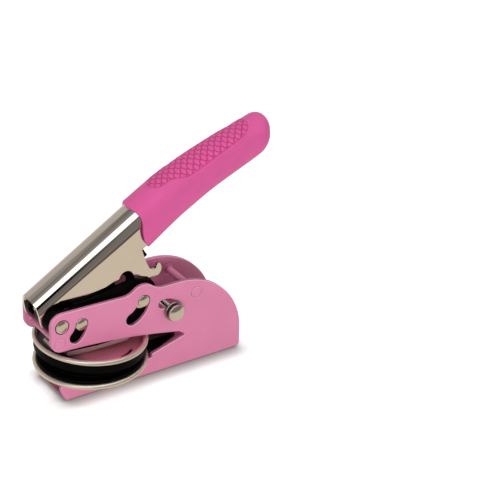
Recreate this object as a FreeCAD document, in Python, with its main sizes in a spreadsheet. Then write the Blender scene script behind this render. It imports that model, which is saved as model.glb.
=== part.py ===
import FreeCAD, Part

import math
import os
import re

import Sketcher

# Hand-held seal embosser, in millimetres.
# +X points to the rear and the handle, +Y to the far side, +Z up.
# The origin is on the table, under the centre of the round dies.

LEFT = 1
RIGHT = -1
NEAR = -1
FAR = 1

DIMENSIONS = {
    # reach of the cuts beyond what they cut
    "cut_long": 400.0,
    "cut_high": 60.0,
    "cut_margin": 2.0,
    # frame: one folded sheet, a bottom web with two side plates
    "frame_width": 26.0,
    "gauge": 1.6,
    "fold_radius": 2.2,
    "web_front": -18.5,
    "prow_x": -21.9,
    "prow_top": 7.9,
    "prow_radius": 18.0,
    "seat_height": 8.9,
    "seat_corner": 1.4,
    "seat_rear": 24.2,
    "lip_height": 10.9,
    "throat_x": 40.3,
    "throat_z": 16.1,
    "throat_tip": 0.75,
    "jaw_rear_x": 38.4,
    "jaw_rear_z": 18.35,
    "jaw_front_z": 26.3,
    "jaw_radius": 300.0,
    "arm_front": -26.2,
    "arm_corner": 5.6,
    "arm_low": 31.9,
    "arm_high": 39.7,
    "arm_top": 45.25,
    "hump_start_x": 9.6,
    "hump_start_z": 44.35,
    "hump_rise_x": 14.9,
    "hump_rise_z": 46.0,
    "hump_fall_x": 24.0,
    "hump_fall_z": 46.4,
    "hump_end_x": 28.8,
    "saddle_z": 43.9,
    "hump_blend": 9.0,
    "hump_radius": 7.1,
    "dome_x": 37.5,
    "dome_z": 10.8,
    "dome_radius": 33.1,
    "heel_radius": 3.0,
    # pivot, drive pin and guide studs
    "pivot_x": -20.6,
    "pivot_z": 38.7,
    "pin_radius": 2.9,
    "pin_reach": 13.15,
    "running_gap": 0.06,
    "drive_crank": 9.75,
    "drive_angle": 10.0,
    "guide_centre_x": 10.45,
    "guide_centre_z": 41.0,
    "guide_crank": 9.75,
    "guide_angle": 9.5,
    "slot_half": 3.15,
    "drive_slot_end": 46.8,
    "guide_slot_end": 68.0,
    # spacer bars across the frame
    "front_bar_x": -21.8,
    "front_bar_z": 30.3,
    "front_bar_radius": 2.6,
    "rear_bar_x": 47.1,
    "rear_bar_z": 36.0,
    "rear_bar_radius": 2.7,
    # lock pin, its curved slot and its pull knob
    "window_x": 30.3,
    "window_z": 27.9,
    "window_radius": 7.12,
    "window_half": 2.32,
    "window_front": 95.0,
    "window_rear": 38.0,
    "lock_swing_x": 28.4,
    "lock_swing_z": 28.51,
    "lock_swing": 6.6,
    "lock_rest": 20.8,
    "lock_front": 79.5,
    "lock_radius": 1.5,
    "lock_slot_half": 1.85,
    "knob_face": 17.2,
    "knob_head": 3.8,
    "knob_head_length": 1.35,
    "knob_neck": 2.9,
    "knob_neck_length": 0.8,
    "knob_flange": 5.3,
    "knob_flange_length": 0.9,
    "knob_edge": 0.3,
    "retainer_radius": 3.3,
    "retainer_length": 0.8,
    "retainer_gap": 0.35,
    "lock_tail": 15.0,
    # lever: chrome channel, in its own axes from the pivot, along and up
    "lever_angle": 31.6,
    "lever_half": 7.8,
    "lever_gauge": 1.3,
    "spring_line": 7.2,
    "crown_round": 7.7,
    "lever_front_s": -6.4,
    "lever_brow_s": -2.9,
    "lever_brow_z": 12.0,
    "lever_cheek_s": -4.7,
    "lever_cheek_z": 7.5,
    "lever_lip_s": -5.9,
    "lever_lip_z": 4.4,
    "lever_lip_radius": 13.0,
    "lever_nose_s": -6.0,
    "lever_nose_z": -1.4,
    "lever_chin_s": -3.9,
    "lever_chin_z": -3.9,
    "lever_heel_s": -2.0,
    "lever_heel_z": -5.15,
    "crank_lobe": 4.7,
    "crank_start_drop": 1.6,
    "crank_rear_radius": 7.7,
    "crank_start_s": 3.4,
    "crank_end_s": 12.0,
    "cheek_front_s": 15.0,
    "cheek_front_z": -1.5,
    "notch_s": 35.6,
    "notch_z": -8.4,
    "notch_radius": 3.65,
    "notch_left": 42.0,
    "notch_right": 25.0,
    "shoulder_s": 41.3,
    "shoulder_z": -12.9,
    "waist_s": 43.0,
    "waist_z": -16.4,
    "lobe_s": 47.8,
    "lobe_z": -15.45,
    "lobe_radius": 3.75,
    "lobe_left": 212.0,
    "lobe_bottom": 300.0,
    "lobe_right": 18.0,
    "cup_s": 48.35,
    "cup_z": -13.3,
    "cup_radius": 2.1,
    "cup_left": 196.0,
    "cup_right": 334.0,
    "rear_low_s": 47.0,
    "rear_low_z": -8.6,
    "rear_high_s": 48.6,
    "rear_high_z": -2.35,
    "tang_step_s": 53.4,
    "tang_step": 1.0,
    "tang_low_z": 0.6,
    "tang_end": 66.0,
    # grip core, the black moulding that carries the grip
    "core_front": 43.5,
    "core_foot": 45.7,
    "core_lip": 49.4,
    "core_low": -7.6,
    "core_slope_z": -3.4,
    "core_top": 7.2,
    "core_gap": 0.06,
    "core_end": 95.0,
    "core_tang_half": 5.0,
    "core_tang_low": -1.0,
    "core_tang_high": 8.0,
    "core_tang_tip": 5.0,
    # hand grip: sections along the lever
    "grip_start": 48.0,
    "grip_front_lean": 9.2,
    "grip_flat": 0.3,
    "grip_gap": 0.06,
    # pivot bushes and rings
    "bush_radius": 5.4,
    "bush_gap": 0.05,
    "bush_play": 0.3,
    "ring_radius": 4.2,
    "ring_inner": 10.2,
    "ring_outer": 10.95,
    # ram: a black channel outside the lever's cheeks, as high as the frame's arm
    "ram_outer": 9.9,
    "ram_inner": 8.3,
    "ram_floor": 23.9,
    "ram_open_x": -12.5,
    "ram_front_x": -13.0,
    "ram_front_z": 29.35,
    "ram_front_lobe": 3.9,
    "ram_front_meet": 121.0,
    "ram_deck_x": -5.0,
    "ram_deck_z": 46.2,
    "ram_ramp_x": 4.7,
    "ram_ramp_z": 47.4,
    "ram_brow_x": 9.0,
    "ram_brow_z": 49.0,
    "ram_crest_x": 17.2,
    "ram_crest_z": 50.0,
    "ram_shoulder_x": 26.0,
    "ram_shoulder_z": 46.7,
    "ram_tail_x": 27.4,
    "ram_tail_high": 44.4,
    "ram_tail_low": 36.0,
    # steel sole under the ram, which presses on the upper plate, and its blunt nose
    "sole_gauge": 2.0,
    "sole_bottom": 20.0,
    "sole_flat_front": -2.0,
    "sole_flat_rear": 12.6,
    "sole_toe_x": -16.6,
    "sole_toe_z": 21.35,
    "sole_toe_radius": 80.0,
    "sole_heel_x": 15.2,
    "sole_heel_radius": 3.4,
    "nose_front": -21.8,
    "nose_rear": -13.0,
    "nose_root_z": 22.2,
    "nose_back_x": -16.0,
    "nose_back_z": 23.9,
    "nose_half": 3.1,
    "nose_low": 21.5,
    "nose_high": 25.1,
    "nose_round": 1.4,
    # round die plates with rolled rims
    "rim_radius": 24.6,
    "rim_bead": 1.2,
    "lower_rim_z": 10.13,
    "upper_rim_z": 21.4,
    "upper_tilt": 4.5,
    "pan_depth": 2.4,
    "pan_gauge": 1.0,
    "slot_ring": 19.5,
    "slot_place": 300.0,
    "slot_width": 1.5,
    "slot_sweep": 12.0,
    # black die and counter die
    "die_core": 23.2,
    "die_skirt": 24.0,
    "die_skirt_low": 11.45,
    "die_shoulder": 12.55,
    "die_face": 13.25,
    "die_face_radius": 20.6,
    "counter_depth": 1.6,
    "counter_radius": 24.9,
    "counter_top": 1.5,
    "counter_gap": 0.1,
    # spring strap that joins the two die plates
    "strap_half": 8.0,
    "strap_gauge": 0.8,
    "strap_bend_x": 37.4,
    "strap_bend_z": 14.1,
    "strap_bend": 0.8,
    "strap_front": 13.0,
    "strap_knee_x": 27.0,
    "strap_inner_knee_x": 26.8,
    "strap_lower_angle": 22.5,
    "strap_upper_angle": 88.0,
    "strap_gap": 0.02,
    "strap_upper_knee": 26.4,
    "strap_relief": 0.25,
    "strap_play": 0.4,
    "rivet_x": 17.0,
    "rivet_y": 4.6,
    "rivet_head": 1.9,
    "rivet_head_height": 0.6,
    # return spring round the pivot
    "coil_radius": 4.45,
    "wire_radius": 0.55,
    "coil_pitch": 1.35,
    "coil_turns": 5.0,
    "leg_down_x": -17.95,
    "leg_down_z": 28.4,
    "leg_along": 13.0,
    "leg_tip_z": 11.6,
    "coil_sides": 8,
    "wire_sides": 6,
}

# Grip sections: place along the lever, centre height, half height and half width.
# The last two close the tail in short rounded steps.
GRIP_SECTIONS = [
    ("front", 52.75, 5.1, 11.25, 9.7),
    ("palm", 70.0, 5.4, 10.7, 9.6),
    ("middle", 89.0, 3.8, 9.9, 9.2),
    ("fingers", 108.7, 0.7, 9.0, 8.7),
    ("tail", 123.7, -2.3, 8.4, 8.1),
    ("tail_round", 127.4, -3.0, 7.2, 6.9),
    ("tail_end", 129.4, -3.4, 4.4, 4.2),
]

for name, place, height, tall, wide in GRIP_SECTIONS:
    DIMENSIONS["grip_" + name + "_s"] = place
    DIMENSIONS["grip_" + name + "_z"] = height
    DIMENSIONS["grip_" + name + "_tall"] = tall
    DIMENSIONS["grip_" + name + "_wide"] = wide

SUBPARTS = [
    "side_frame", "front_spacer_bar", "rear_spacer_bar", "pivot_pin", "return_spring",
    "lower_die_plate", "lower_die", "clip_spring", "lower_strap_rivets",
    "lever_channel", "drive_pin", "drive_ring_near", "drive_ring_far",
    "pivot_bush_near", "pivot_bush_far", "grip_core", "hand_grip",
    "ram", "ram_sole", "guide_stud_near", "guide_stud_far",
    "lock_pin", "lock_knob", "lock_retainer",
    "upper_die_plate", "upper_die", "upper_strap_rivets",
]

doc = FreeCAD.newDocument("seal_embosser")
sheet = doc.addObject("Spreadsheet::Sheet", "Dims")


def fill_sheet():
    """Write every driving dimension into the sheet, under its own alias."""
    for row, (alias, number) in enumerate(DIMENSIONS.items(), start=1):
        sheet.set("A%d" % row, alias)
        sheet.set("B%d" % row, str(number))
        sheet.setAlias("B%d" % row, alias)
    doc.recompute()


def scoped(expression):
    """Put the sheet's name before each alias of an expression."""
    return re.sub(r"[a-z]\w*", lambda word: "Dims." + word.group()
                  if word.group() in DIMENSIONS else word.group(), str(expression))


def value(expression):
    """Work out an expression in the sheet's aliases."""
    return float(sheet.evalExpression(str(expression)))


def new_body(label):
    body = doc.addObject("PartDesign::Body", label)
    body.Label = label
    return body


def new_sketch(body, role, name, offset=None):
    """Attach a sketch to one of the body's own planes, moved along its normal."""
    plane = next(item for item in body.Origin.OriginFeatures if item.Role == role)
    sketch = body.newObject("Sketcher::SketchObject", name)
    sketch.AttachmentSupport = [(plane, "")]
    sketch.MapMode = "FlatFace"
    if offset is not None:
        sketch.setExpression("AttachmentOffset.Base.z", scoped(offset))
    return sketch


def lean_sketch(sketch, angle):
    """Lean a sketch forward about its own horizontal axis."""
    spot = sketch.AttachmentOffset.Base
    turn = FreeCAD.Rotation(FreeCAD.Vector(1, 0, 0), value(angle))
    sketch.AttachmentOffset = FreeCAD.Placement(spot, turn)
    sketch.setExpression("AttachmentOffset.Rotation.Angle", scoped(angle))


def arc_between(start, end, radius, side):
    """Make the shorter arc from start to end whose centre lies on the given side of travel."""
    chord = end.sub(start)
    half = chord.Length / 2.0
    rise = math.sqrt(max(radius * radius - half * half, 0.0))
    normal = FreeCAD.Vector(-chord.y, chord.x, 0).normalize() * (rise * side)
    centre = start.add(end) * 0.5 + normal
    first, last = (start, end) if side == LEFT else (end, start)
    begin = math.atan2(first.y - centre.y, first.x - centre.x)
    finish = math.atan2(last.y - centre.y, last.x - centre.x)
    if finish <= begin:
        finish += 2.0 * math.pi
    circle = Part.Circle(centre, FreeCAD.Vector(0, 0, 1), radius)
    return Part.ArcOfCircle(circle, begin, finish)


def hold(sketch, kind, geometry, point, expression):
    """Bind one coordinate of a sketch point to the sheet."""
    rule = Sketcher.Constraint(kind, -1, 1, geometry, point, value(expression))
    index = sketch.addConstraint(rule)
    sketch.setExpression("Constraints[%d]" % index, scoped(expression))


def outline(sketch, corners):
    """Draw a closed outline. A corner is (x, y), or (x, y, radius, side) if an arc leaves it."""
    spots = [FreeCAD.Vector(value(corner[0]), value(corner[1]), 0) for corner in corners]
    ends = []
    for index, corner in enumerate(corners):
        start = spots[index]
        end = spots[(index + 1) % len(spots)]
        if len(corner) == 2:
            edge = sketch.addGeometry(Part.LineSegment(start, end), False)
            ends.append((edge, 1, 2))
            continue
        arc = arc_between(start, end, value(corner[2]), corner[3])
        edge = sketch.addGeometry(arc, False)
        ends.append((edge, 1, 2) if corner[3] == LEFT else (edge, 2, 1))
    for index, corner in enumerate(corners):
        edge, first, _ = ends[index]
        before, _, last = ends[index - 1]
        sketch.addConstraint(Sketcher.Constraint("Coincident", before, last, edge, first))
        hold(sketch, "DistanceX", edge, first, corner[0])
        hold(sketch, "DistanceY", edge, first, corner[1])
        if len(corner) > 2:
            rule = Sketcher.Constraint("Radius", edge, value(corner[2]))
            number = sketch.addConstraint(rule)
            sketch.setExpression("Constraints[%d]" % number, scoped(corner[2]))


def circle(sketch, x, y, radius):
    """Draw a circle that is bound to the sheet."""
    spot = FreeCAD.Vector(value(x), value(y), 0)
    shape = Part.Circle(spot, FreeCAD.Vector(0, 0, 1), value(radius))
    edge = sketch.addGeometry(shape, False)
    hold(sketch, "DistanceX", edge, 3, x)
    hold(sketch, "DistanceY", edge, 3, y)
    number = sketch.addConstraint(Sketcher.Constraint("Radius", edge, value(radius)))
    sketch.setExpression("Constraints[%d]" % number, scoped(radius))


def pad(body, sketch, name, length):
    """Extrude a sketch to both sides of its plane."""
    feature = body.newObject("PartDesign::Pad", name)
    feature.Profile = sketch
    feature.SideType = "Symmetric"
    feature.setExpression("Length", scoped(length))
    return feature


def pocket(body, sketch, name, length):
    """Cut a sketch to both sides of its plane."""
    feature = body.newObject("PartDesign::Pocket", name)
    feature.Profile = sketch
    feature.SideType = "Symmetric"
    feature.setExpression("Length", scoped(length))
    return feature


def edges_where(shape, test):
    """Name the edges of a shape whose middle point passes a test."""
    names = []
    for index, edge in enumerate(shape.Edges, start=1):
        middle = edge.valueAt((edge.FirstParameter + edge.LastParameter) / 2.0)
        if test(middle, edge):
            names.append("Edge%d" % index)
    return names


def fillet(body, base, name, radius, test):
    """Round the edges of a feature that pass a test."""
    doc.recompute()
    feature = body.newObject("PartDesign::Fillet", name)
    feature.Base = (base, edges_where(base.Shape, test))
    feature.setExpression("Radius", scoped(radius))
    return feature


def polar(centre_x, centre_z, radius, angle):
    """Give the expressions of a point on a circle, in degrees from +X towards +Z."""
    along = "%s + (%s) * cos(%s)" % (centre_x, radius, angle)
    up = "%s + (%s) * sin(%s)" % (centre_z, radius, angle)
    return along, up


def arc_slot(centre_x, centre_z, radius, half, start, end):
    """Outline a slot with round ends that follows an arc from start to end, anticlockwise."""
    outer = "%s + %s" % (radius, half)
    inner = "%s - %s" % (radius, half)

    def tip(angle, sign):
        along, up = polar(centre_x, centre_z, radius, angle)
        return ("%s - %s * (%s) * sin(%s)" % (along, sign, half, angle),
                "%s + %s * (%s) * cos(%s)" % (up, sign, half, angle))

    return [
        polar(centre_x, centre_z, outer, start) + (outer, LEFT),
        polar(centre_x, centre_z, outer, end) + (half, LEFT),
        tip(end, "1") + (half, LEFT),
        polar(centre_x, centre_z, inner, end) + (inner, RIGHT),
        polar(centre_x, centre_z, inner, start) + (half, LEFT),
        tip(start, "-1") + (half, LEFT),
    ]


def revolve(body, sketch, name):
    """Turn a sketch all the way round its vertical axis."""
    feature = body.newObject("PartDesign::Revolution", name)
    feature.Profile = sketch
    feature.ReferenceAxis = (sketch, ["V_Axis"])
    feature.Angle = 360.0
    return feature


def turned(label, corners, x, z):
    """Turn a piece about a cross axis at (x, z). Corners are (radius, place across)."""
    body = new_body(label)
    sketch = new_sketch(body, "XY_Plane", label + "_half_section")
    outline(sketch, corners)
    revolve(body, sketch, label + "_turned")
    body.setExpression("Placement.Base.x", scoped(x))
    body.setExpression("Placement.Base.z", scoped(z))
    return body


def plain_pin(label, radius, start, end, x, z):
    """A plain pin across the frame."""
    return turned(label, [("0", start), (radius, start), (radius, end), ("0", end)], x, z)


def ring(label, inner, outer, start, end, x, z):
    """A washer or bush across the frame."""
    return turned(label, [(inner, start), (outer, start), (outer, end), (inner, end)], x, z)


def on_lever(body):
    """Stand a body on the lever's own axes, at the pivot and along the lever."""
    body.Placement = FreeCAD.Placement(
        FreeCAD.Vector(), FreeCAD.Rotation(FreeCAD.Vector(0, -1, 0), value("lever_angle")))
    body.setExpression("Placement.Base.x", scoped("pivot_x"))
    body.setExpression("Placement.Base.z", scoped("pivot_z"))
    body.setExpression("Placement.Rotation.Angle", scoped("lever_angle"))


DRIVE_X, DRIVE_Z = polar("pivot_x", "pivot_z", "drive_crank", "-drive_angle")
GUIDE_X, GUIDE_Z = polar("guide_centre_x", "guide_centre_z", "guide_crank", "-guide_angle")
LOCK_X, LOCK_Z = polar("lock_swing_x", "lock_swing_z", "lock_swing", "lock_rest")


def build_side_frame():
    """The folded sheet: arm over the throat, seat under it, domed rear and prow front."""
    body = new_body("side_frame")
    profile = new_sketch(body, "XZ_Plane", "side_outline")
    outline(profile, [
        ("web_front", "0"),
        ("dome_x + dome_radius - heel_radius", "0", "heel_radius", LEFT),
        ("dome_x + dome_radius", "heel_radius"),
        ("dome_x + dome_radius", "dome_z", "dome_radius", LEFT),
        ("dome_x", "dome_z + dome_radius"),
        ("hump_end_x", "saddle_z", "hump_blend", RIGHT),
        ("hump_fall_x", "hump_fall_z", "hump_radius", LEFT),
        ("hump_rise_x", "hump_rise_z", "hump_blend", RIGHT),
        ("hump_start_x", "hump_start_z"),
        ("arm_front + arm_corner", "arm_top", "arm_corner", LEFT),
        ("arm_front", "arm_high"),
        ("arm_front", "arm_low", "arm_corner", LEFT),
        ("arm_front + arm_corner", "jaw_front_z", "jaw_radius", RIGHT),
        ("jaw_rear_x", "jaw_rear_z"),
        ("throat_x", "throat_z + throat_tip", "throat_tip", RIGHT),
        ("throat_x + throat_tip", "throat_z", "throat_tip", RIGHT),
        ("throat_x", "throat_z - throat_tip"),
        ("seat_rear", "lip_height"),
        ("seat_rear", "seat_height"),
        ("prow_x + seat_corner", "seat_height", "seat_corner", LEFT),
        ("prow_x", "seat_height - seat_corner"),
        ("prow_x", "prow_top - seat_corner", "prow_radius", LEFT),
    ])
    pad(body, profile, "side_form", "frame_width")
    folds = new_sketch(body, "YZ_Plane", "fold_section")
    for side in (NEAR, FAR):
        edge = "%d * frame_width / 2" % side
        start = "%d * (frame_width / 2 - fold_radius)" % side
        beyond = "%d * (frame_width / 2 + cut_margin)" % side
        outline(folds, [
            (start, "0"),
            (start, "-cut_margin"),
            (beyond, "-cut_margin"),
            (beyond, "fold_radius"),
            (edge, "fold_radius", "fold_radius", RIGHT if side == FAR else LEFT),
        ])
    pocket(body, folds, "outer_folds", "cut_long")
    hollow = new_sketch(body, "YZ_Plane", "hollow_section")
    plate = "(frame_width / 2 - gauge)"
    bend = "(fold_radius - gauge)"
    outline(hollow, [
        ("-%s + %s" % (plate, bend), "gauge"),
        ("%s - %s" % (plate, bend), "gauge", bend, LEFT),
        (plate, "fold_radius"),
        (plate, "cut_high"),
        ("-" + plate, "cut_high"),
        ("-" + plate, "fold_radius", bend, LEFT),
    ])
    pocket(body, hollow, "hollow", "cut_long")
    holes = new_sketch(body, "XZ_Plane", "round_holes")
    circle(holes, "pivot_x", "pivot_z", "pin_radius")
    circle(holes, "front_bar_x", "front_bar_z", "front_bar_radius")
    circle(holes, "rear_bar_x", "rear_bar_z", "rear_bar_radius")
    pocket(body, holes, "bar_and_pivot_holes", "cut_long")
    slots = new_sketch(body, "XZ_Plane", "pin_slots")
    outline(slots, arc_slot("pivot_x", "pivot_z", "drive_crank", "slot_half",
                            "-drive_slot_end", "-drive_angle"))
    outline(slots, arc_slot("guide_centre_x", "guide_centre_z", "guide_crank", "slot_half",
                            "-guide_slot_end", "-guide_angle"))
    pocket(body, slots, "drive_and_guide_slots", "cut_long")
    window = new_sketch(body, "XZ_Plane", "lock_window")
    outline(window, arc_slot("window_x", "window_z", "window_radius", "window_half",
                             "window_rear", "window_front"))
    pocket(body, window, "lock_window_cut", "cut_long")
    track = new_sketch(body, "XZ_Plane", "lock_track")
    outline(track, arc_slot("lock_swing_x", "lock_swing_z", "lock_swing", "lock_slot_half",
                            "lock_rest", "lock_front"))
    pocket(body, track, "lock_track_cut", "cut_long")


def build_bars():
    """Two spacer bars, riveted flush and painted over, and the pivot pin."""
    half = "frame_width / 2"
    plain_pin("front_spacer_bar", "front_bar_radius", "-" + half, half,
              "front_bar_x", "front_bar_z")
    plain_pin("rear_spacer_bar", "rear_bar_radius", "-" + half, half, "rear_bar_x", "rear_bar_z")
    plain_pin("pivot_pin", "pin_radius", "-pin_reach", "pin_reach", "pivot_x", "pivot_z")


def build_lever_channel():
    """Inverted channel with a round crown, a crank lobe, a notch and a hooked tail."""
    body = new_body("lever_channel")
    cheeks = new_sketch(body, "XZ_Plane", "cheek_outline")
    crank_s = "drive_crank * cos(lever_angle + drive_angle)"
    crank_z = "-drive_crank * sin(lever_angle + drive_angle)"
    outline(cheeks, [
        ("lever_front_s", "lever_nose_z"),
        ("lever_nose_s", "lever_nose_z"),
        ("lever_chin_s", "lever_chin_z"),
        ("lever_heel_s", "lever_heel_z"),
        ("crank_start_s", crank_z + " - crank_start_drop", "crank_lobe", LEFT),
        (crank_s, crank_z + " - crank_lobe", "crank_lobe", LEFT),
        ("crank_end_s", crank_z, "crank_rear_radius", LEFT),
        ("cheek_front_s", "cheek_front_z"),
        polar("notch_s", "notch_z", "notch_radius", "180 - notch_left") + ("notch_radius", RIGHT),
        ("notch_s", "notch_z + notch_radius", "notch_radius", RIGHT),
        polar("notch_s", "notch_z", "notch_radius", "-notch_right"),
        ("shoulder_s", "shoulder_z"),
        ("waist_s", "waist_z"),
        polar("lobe_s", "lobe_z", "lobe_radius", "lobe_left") + ("lobe_radius", LEFT),
        polar("lobe_s", "lobe_z", "lobe_radius", "lobe_bottom") + ("lobe_radius", LEFT),
        polar("lobe_s", "lobe_z", "lobe_radius", "lobe_right"),
        polar("cup_s", "cup_z", "cup_radius", "cup_right") + ("cup_radius", RIGHT),
        polar("cup_s", "cup_z", "cup_radius", "cup_left"),
        ("rear_low_s", "rear_low_z"),
        ("rear_high_s", "rear_high_z"),
        ("tang_step_s", "rear_high_z"),
        ("tang_step_s + tang_step", "tang_low_z"),
        ("tang_end", "tang_low_z"),
        ("tang_end", "spring_line + lever_half"),
        ("lever_front_s", "spring_line + lever_half"),
    ])
    solid = pad(body, cheeks, "cheek_form", "2 * lever_half")
    top = value("spring_line + lever_half")

    def is_crown(middle, item):
        return abs(middle.z - top) < 0.01 and abs(abs(middle.y) - value("lever_half")) < 0.01

    fillet(body, solid, "crown", "crown_round", is_crown)
    doc.recompute()
    section = new_sketch(body, "YZ_Plane", "channel_section")
    inner = "(lever_half - lever_gauge)"
    outline(section, [
        ("-" + inner, "-cut_high"),
        (inner, "-cut_high"),
        (inner, "spring_line", inner, LEFT),
        ("0", "spring_line + " + inner, inner, LEFT),
        ("-" + inner, "spring_line"),
    ])
    pocket(body, section, "channel", "cut_long")
    nose = new_sketch(body, "XZ_Plane", "nose_cut_outline")
    outline(nose, [
        ("lever_front_s - cut_margin", "lever_nose_z - cut_margin"),
        ("lever_nose_s", "lever_nose_z - cut_margin"),
        ("lever_nose_s", "lever_nose_z", "lever_lip_radius", RIGHT),
        ("lever_lip_s", "lever_lip_z"),
        ("lever_cheek_s", "lever_cheek_z"),
        ("lever_brow_s", "lever_brow_z"),
        ("lever_brow_s", "cut_high"),
        ("lever_front_s - cut_margin", "cut_high"),
    ])
    pocket(body, nose, "nose_cut", "cut_long")
    holes = new_sketch(body, "XZ_Plane", "pin_holes")
    circle(holes, "0", "0", "pin_radius + running_gap")
    circle(holes, crank_s, crank_z, "pin_radius")
    pocket(body, holes, "pin_holes_cut", "cut_long")
    on_lever(body)


def build_lever_pins():
    """The drive pin with its rings, and the bushes that centre the lever in the frame."""
    plain_pin("drive_pin", "pin_radius", "-pin_reach", "pin_reach", DRIVE_X, DRIVE_Z)
    for label, sign in (("near", NEAR), ("far", FAR)):
        span = ["%d * ring_inner" % sign, "%d * ring_outer" % sign]
        ring("drive_ring_" + label, "pin_radius", "ring_radius", *span[::sign],
             DRIVE_X, DRIVE_Z)
        span = ["%d * (lever_half + bush_gap)" % sign,
                "%d * (frame_width / 2 - gauge - bush_play)" % sign]
        ring("pivot_bush_" + label, "pin_radius + running_gap", "bush_radius", *span[::sign],
             "pivot_x", "pivot_z")


def build_grip_core():
    """The black moulding inside the channel; its tang runs on into the grip."""
    body = new_body("grip_core")
    inside = new_sketch(body, "XZ_Plane", "core_outline")
    outline(inside, [
        ("core_front", "core_slope_z"),
        ("core_foot", "core_low"),
        ("core_lip", "core_low"),
        ("core_lip", "rear_high_z"),
        ("tang_step_s", "rear_high_z"),
        ("tang_step_s + tang_step", "tang_low_z"),
        ("tang_end", "tang_low_z"),
        ("tang_end", "core_top"),
        ("core_front", "core_top"),
    ])
    pad(body, inside, "core_form", "2 * (lever_half - lever_gauge - core_gap)")
    tang = new_sketch(body, "XZ_Plane", "tang_outline")
    outline(tang, [
        ("tang_end - cut_margin", "core_tang_low"),
        ("core_end", "core_tang_low"),
        ("core_end", "core_tang_tip"),
        ("tang_end - cut_margin", "core_tang_high"),
    ])
    pad(body, tang, "core_tang", "2 * core_tang_half")
    on_lever(body)


def build_hand_grip():
    """Soft grip: a loft that droops towards its rounded tail, over the channel and core."""
    body = new_body("hand_grip")
    sections = []
    for name, *_ in GRIP_SECTIONS:
        stem = "grip_" + name
        section = new_sketch(body, "YZ_Plane", stem + "_section", stem + "_s")
        if name == "front":
            lean_sketch(section, "grip_front_lean")
        wide = stem + "_wide"
        low = "%s_z - %s_tall" % (stem, stem)
        high = "%s_z + %s_tall" % (stem, stem)
        corner = "(%s - grip_flat)" % wide
        outline(section, [
            ("-grip_flat", low),
            ("grip_flat", low, corner, LEFT),
            (wide, low + " + " + corner),
            (wide, high + " - " + corner, corner, LEFT),
            ("grip_flat", high),
            ("-grip_flat", high, corner, LEFT),
            ("-" + wide, high + " - " + corner),
            ("-" + wide, low + " + " + corner, corner, LEFT),
        ])
        sections.append(section)
    loft = body.newObject("PartDesign::AdditiveLoft", "grip_form")
    loft.Profile = sections[0]
    loft.Sections = sections[1:]
    loft.Ruled = True
    channel = new_sketch(body, "YZ_Plane", "channel_socket_section",
                         "(tang_end + core_gap + grip_start) / 2")
    half = "(lever_half + grip_gap)"
    outline(channel, [
        ("-" + half, "tang_low_z - grip_gap"),
        (half, "tang_low_z - grip_gap"),
        (half, "spring_line", half, LEFT),
        ("0", "spring_line + " + half, half, LEFT),
        ("-" + half, "spring_line"),
    ])
    pocket(body, channel, "channel_socket", "tang_end + core_gap - grip_start")
    step = new_sketch(body, "XZ_Plane", "step_socket_outline")
    outline(step, [
        ("grip_start", "rear_high_z - grip_gap"),
        ("tang_step_s + grip_gap", "rear_high_z - grip_gap"),
        ("tang_step_s + tang_step + grip_gap", "tang_low_z"),
        ("grip_start", "tang_low_z"),
    ])
    pocket(body, step, "step_socket", "2 * (lever_half + grip_gap)")
    core = new_sketch(body, "XZ_Plane", "core_socket_outline")
    outline(core, [
        ("tang_end - cut_margin", "core_tang_low - core_gap"),
        ("core_end + core_gap", "core_tang_low - core_gap"),
        ("core_end + core_gap", "core_tang_tip + core_gap"),
        ("tang_end - cut_margin", "core_tang_high + 2 * core_gap"),
    ])
    pocket(body, core, "core_socket", "2 * (core_tang_half + core_gap)")
    on_lever(body)


def build_ram():
    """The presser's black channel: it carries the drive pin and the guide studs."""
    body = new_body("ram")
    joint = "sole_bottom + sole_gauge"
    side = new_sketch(body, "XZ_Plane", "ram_outline")
    outline(side, [
        ("sole_toe_x", "sole_toe_z + sole_gauge"),
        ("sole_flat_front", joint),
        ("sole_heel_x", joint),
        ("ram_tail_x", "ram_tail_low"),
        ("ram_tail_x", "ram_tail_high"),
        ("ram_shoulder_x", "ram_shoulder_z"),
        ("ram_crest_x", "ram_crest_z"),
        ("ram_brow_x", "ram_brow_z"),
        ("ram_ramp_x", "ram_ramp_z"),
        ("ram_deck_x", "ram_deck_z"),
        ("ram_front_x", "ram_deck_z"),
        polar(DRIVE_X, DRIVE_Z, "ram_front_lobe", "ram_front_meet") + ("ram_front_lobe", LEFT),
        polar(DRIVE_X, DRIVE_Z, "ram_front_lobe", "180"),
        ("sole_toe_x", "ram_front_z"),
    ])
    pad(body, side, "ram_form", "2 * ram_outer")
    hollow = new_sketch(body, "XZ_Plane", "ram_hollow_outline")
    outline(hollow, [
        ("sole_toe_x - cut_margin", "sole_bottom"),
        ("ram_open_x", "sole_bottom"),
        ("ram_open_x", "ram_floor"),
        ("ram_tail_x + cut_margin", "ram_floor"),
        ("ram_tail_x + cut_margin", "cut_high"),
        ("sole_toe_x - cut_margin", "cut_high"),
    ])
    pocket(body, hollow, "ram_hollow", "2 * ram_inner")
    holes = new_sketch(body, "XZ_Plane", "ram_holes")
    circle(holes, DRIVE_X, DRIVE_Z, "pin_radius + running_gap")
    circle(holes, GUIDE_X, GUIDE_Z, "pin_radius")
    pocket(body, holes, "ram_holes_cut", "cut_long")


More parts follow.
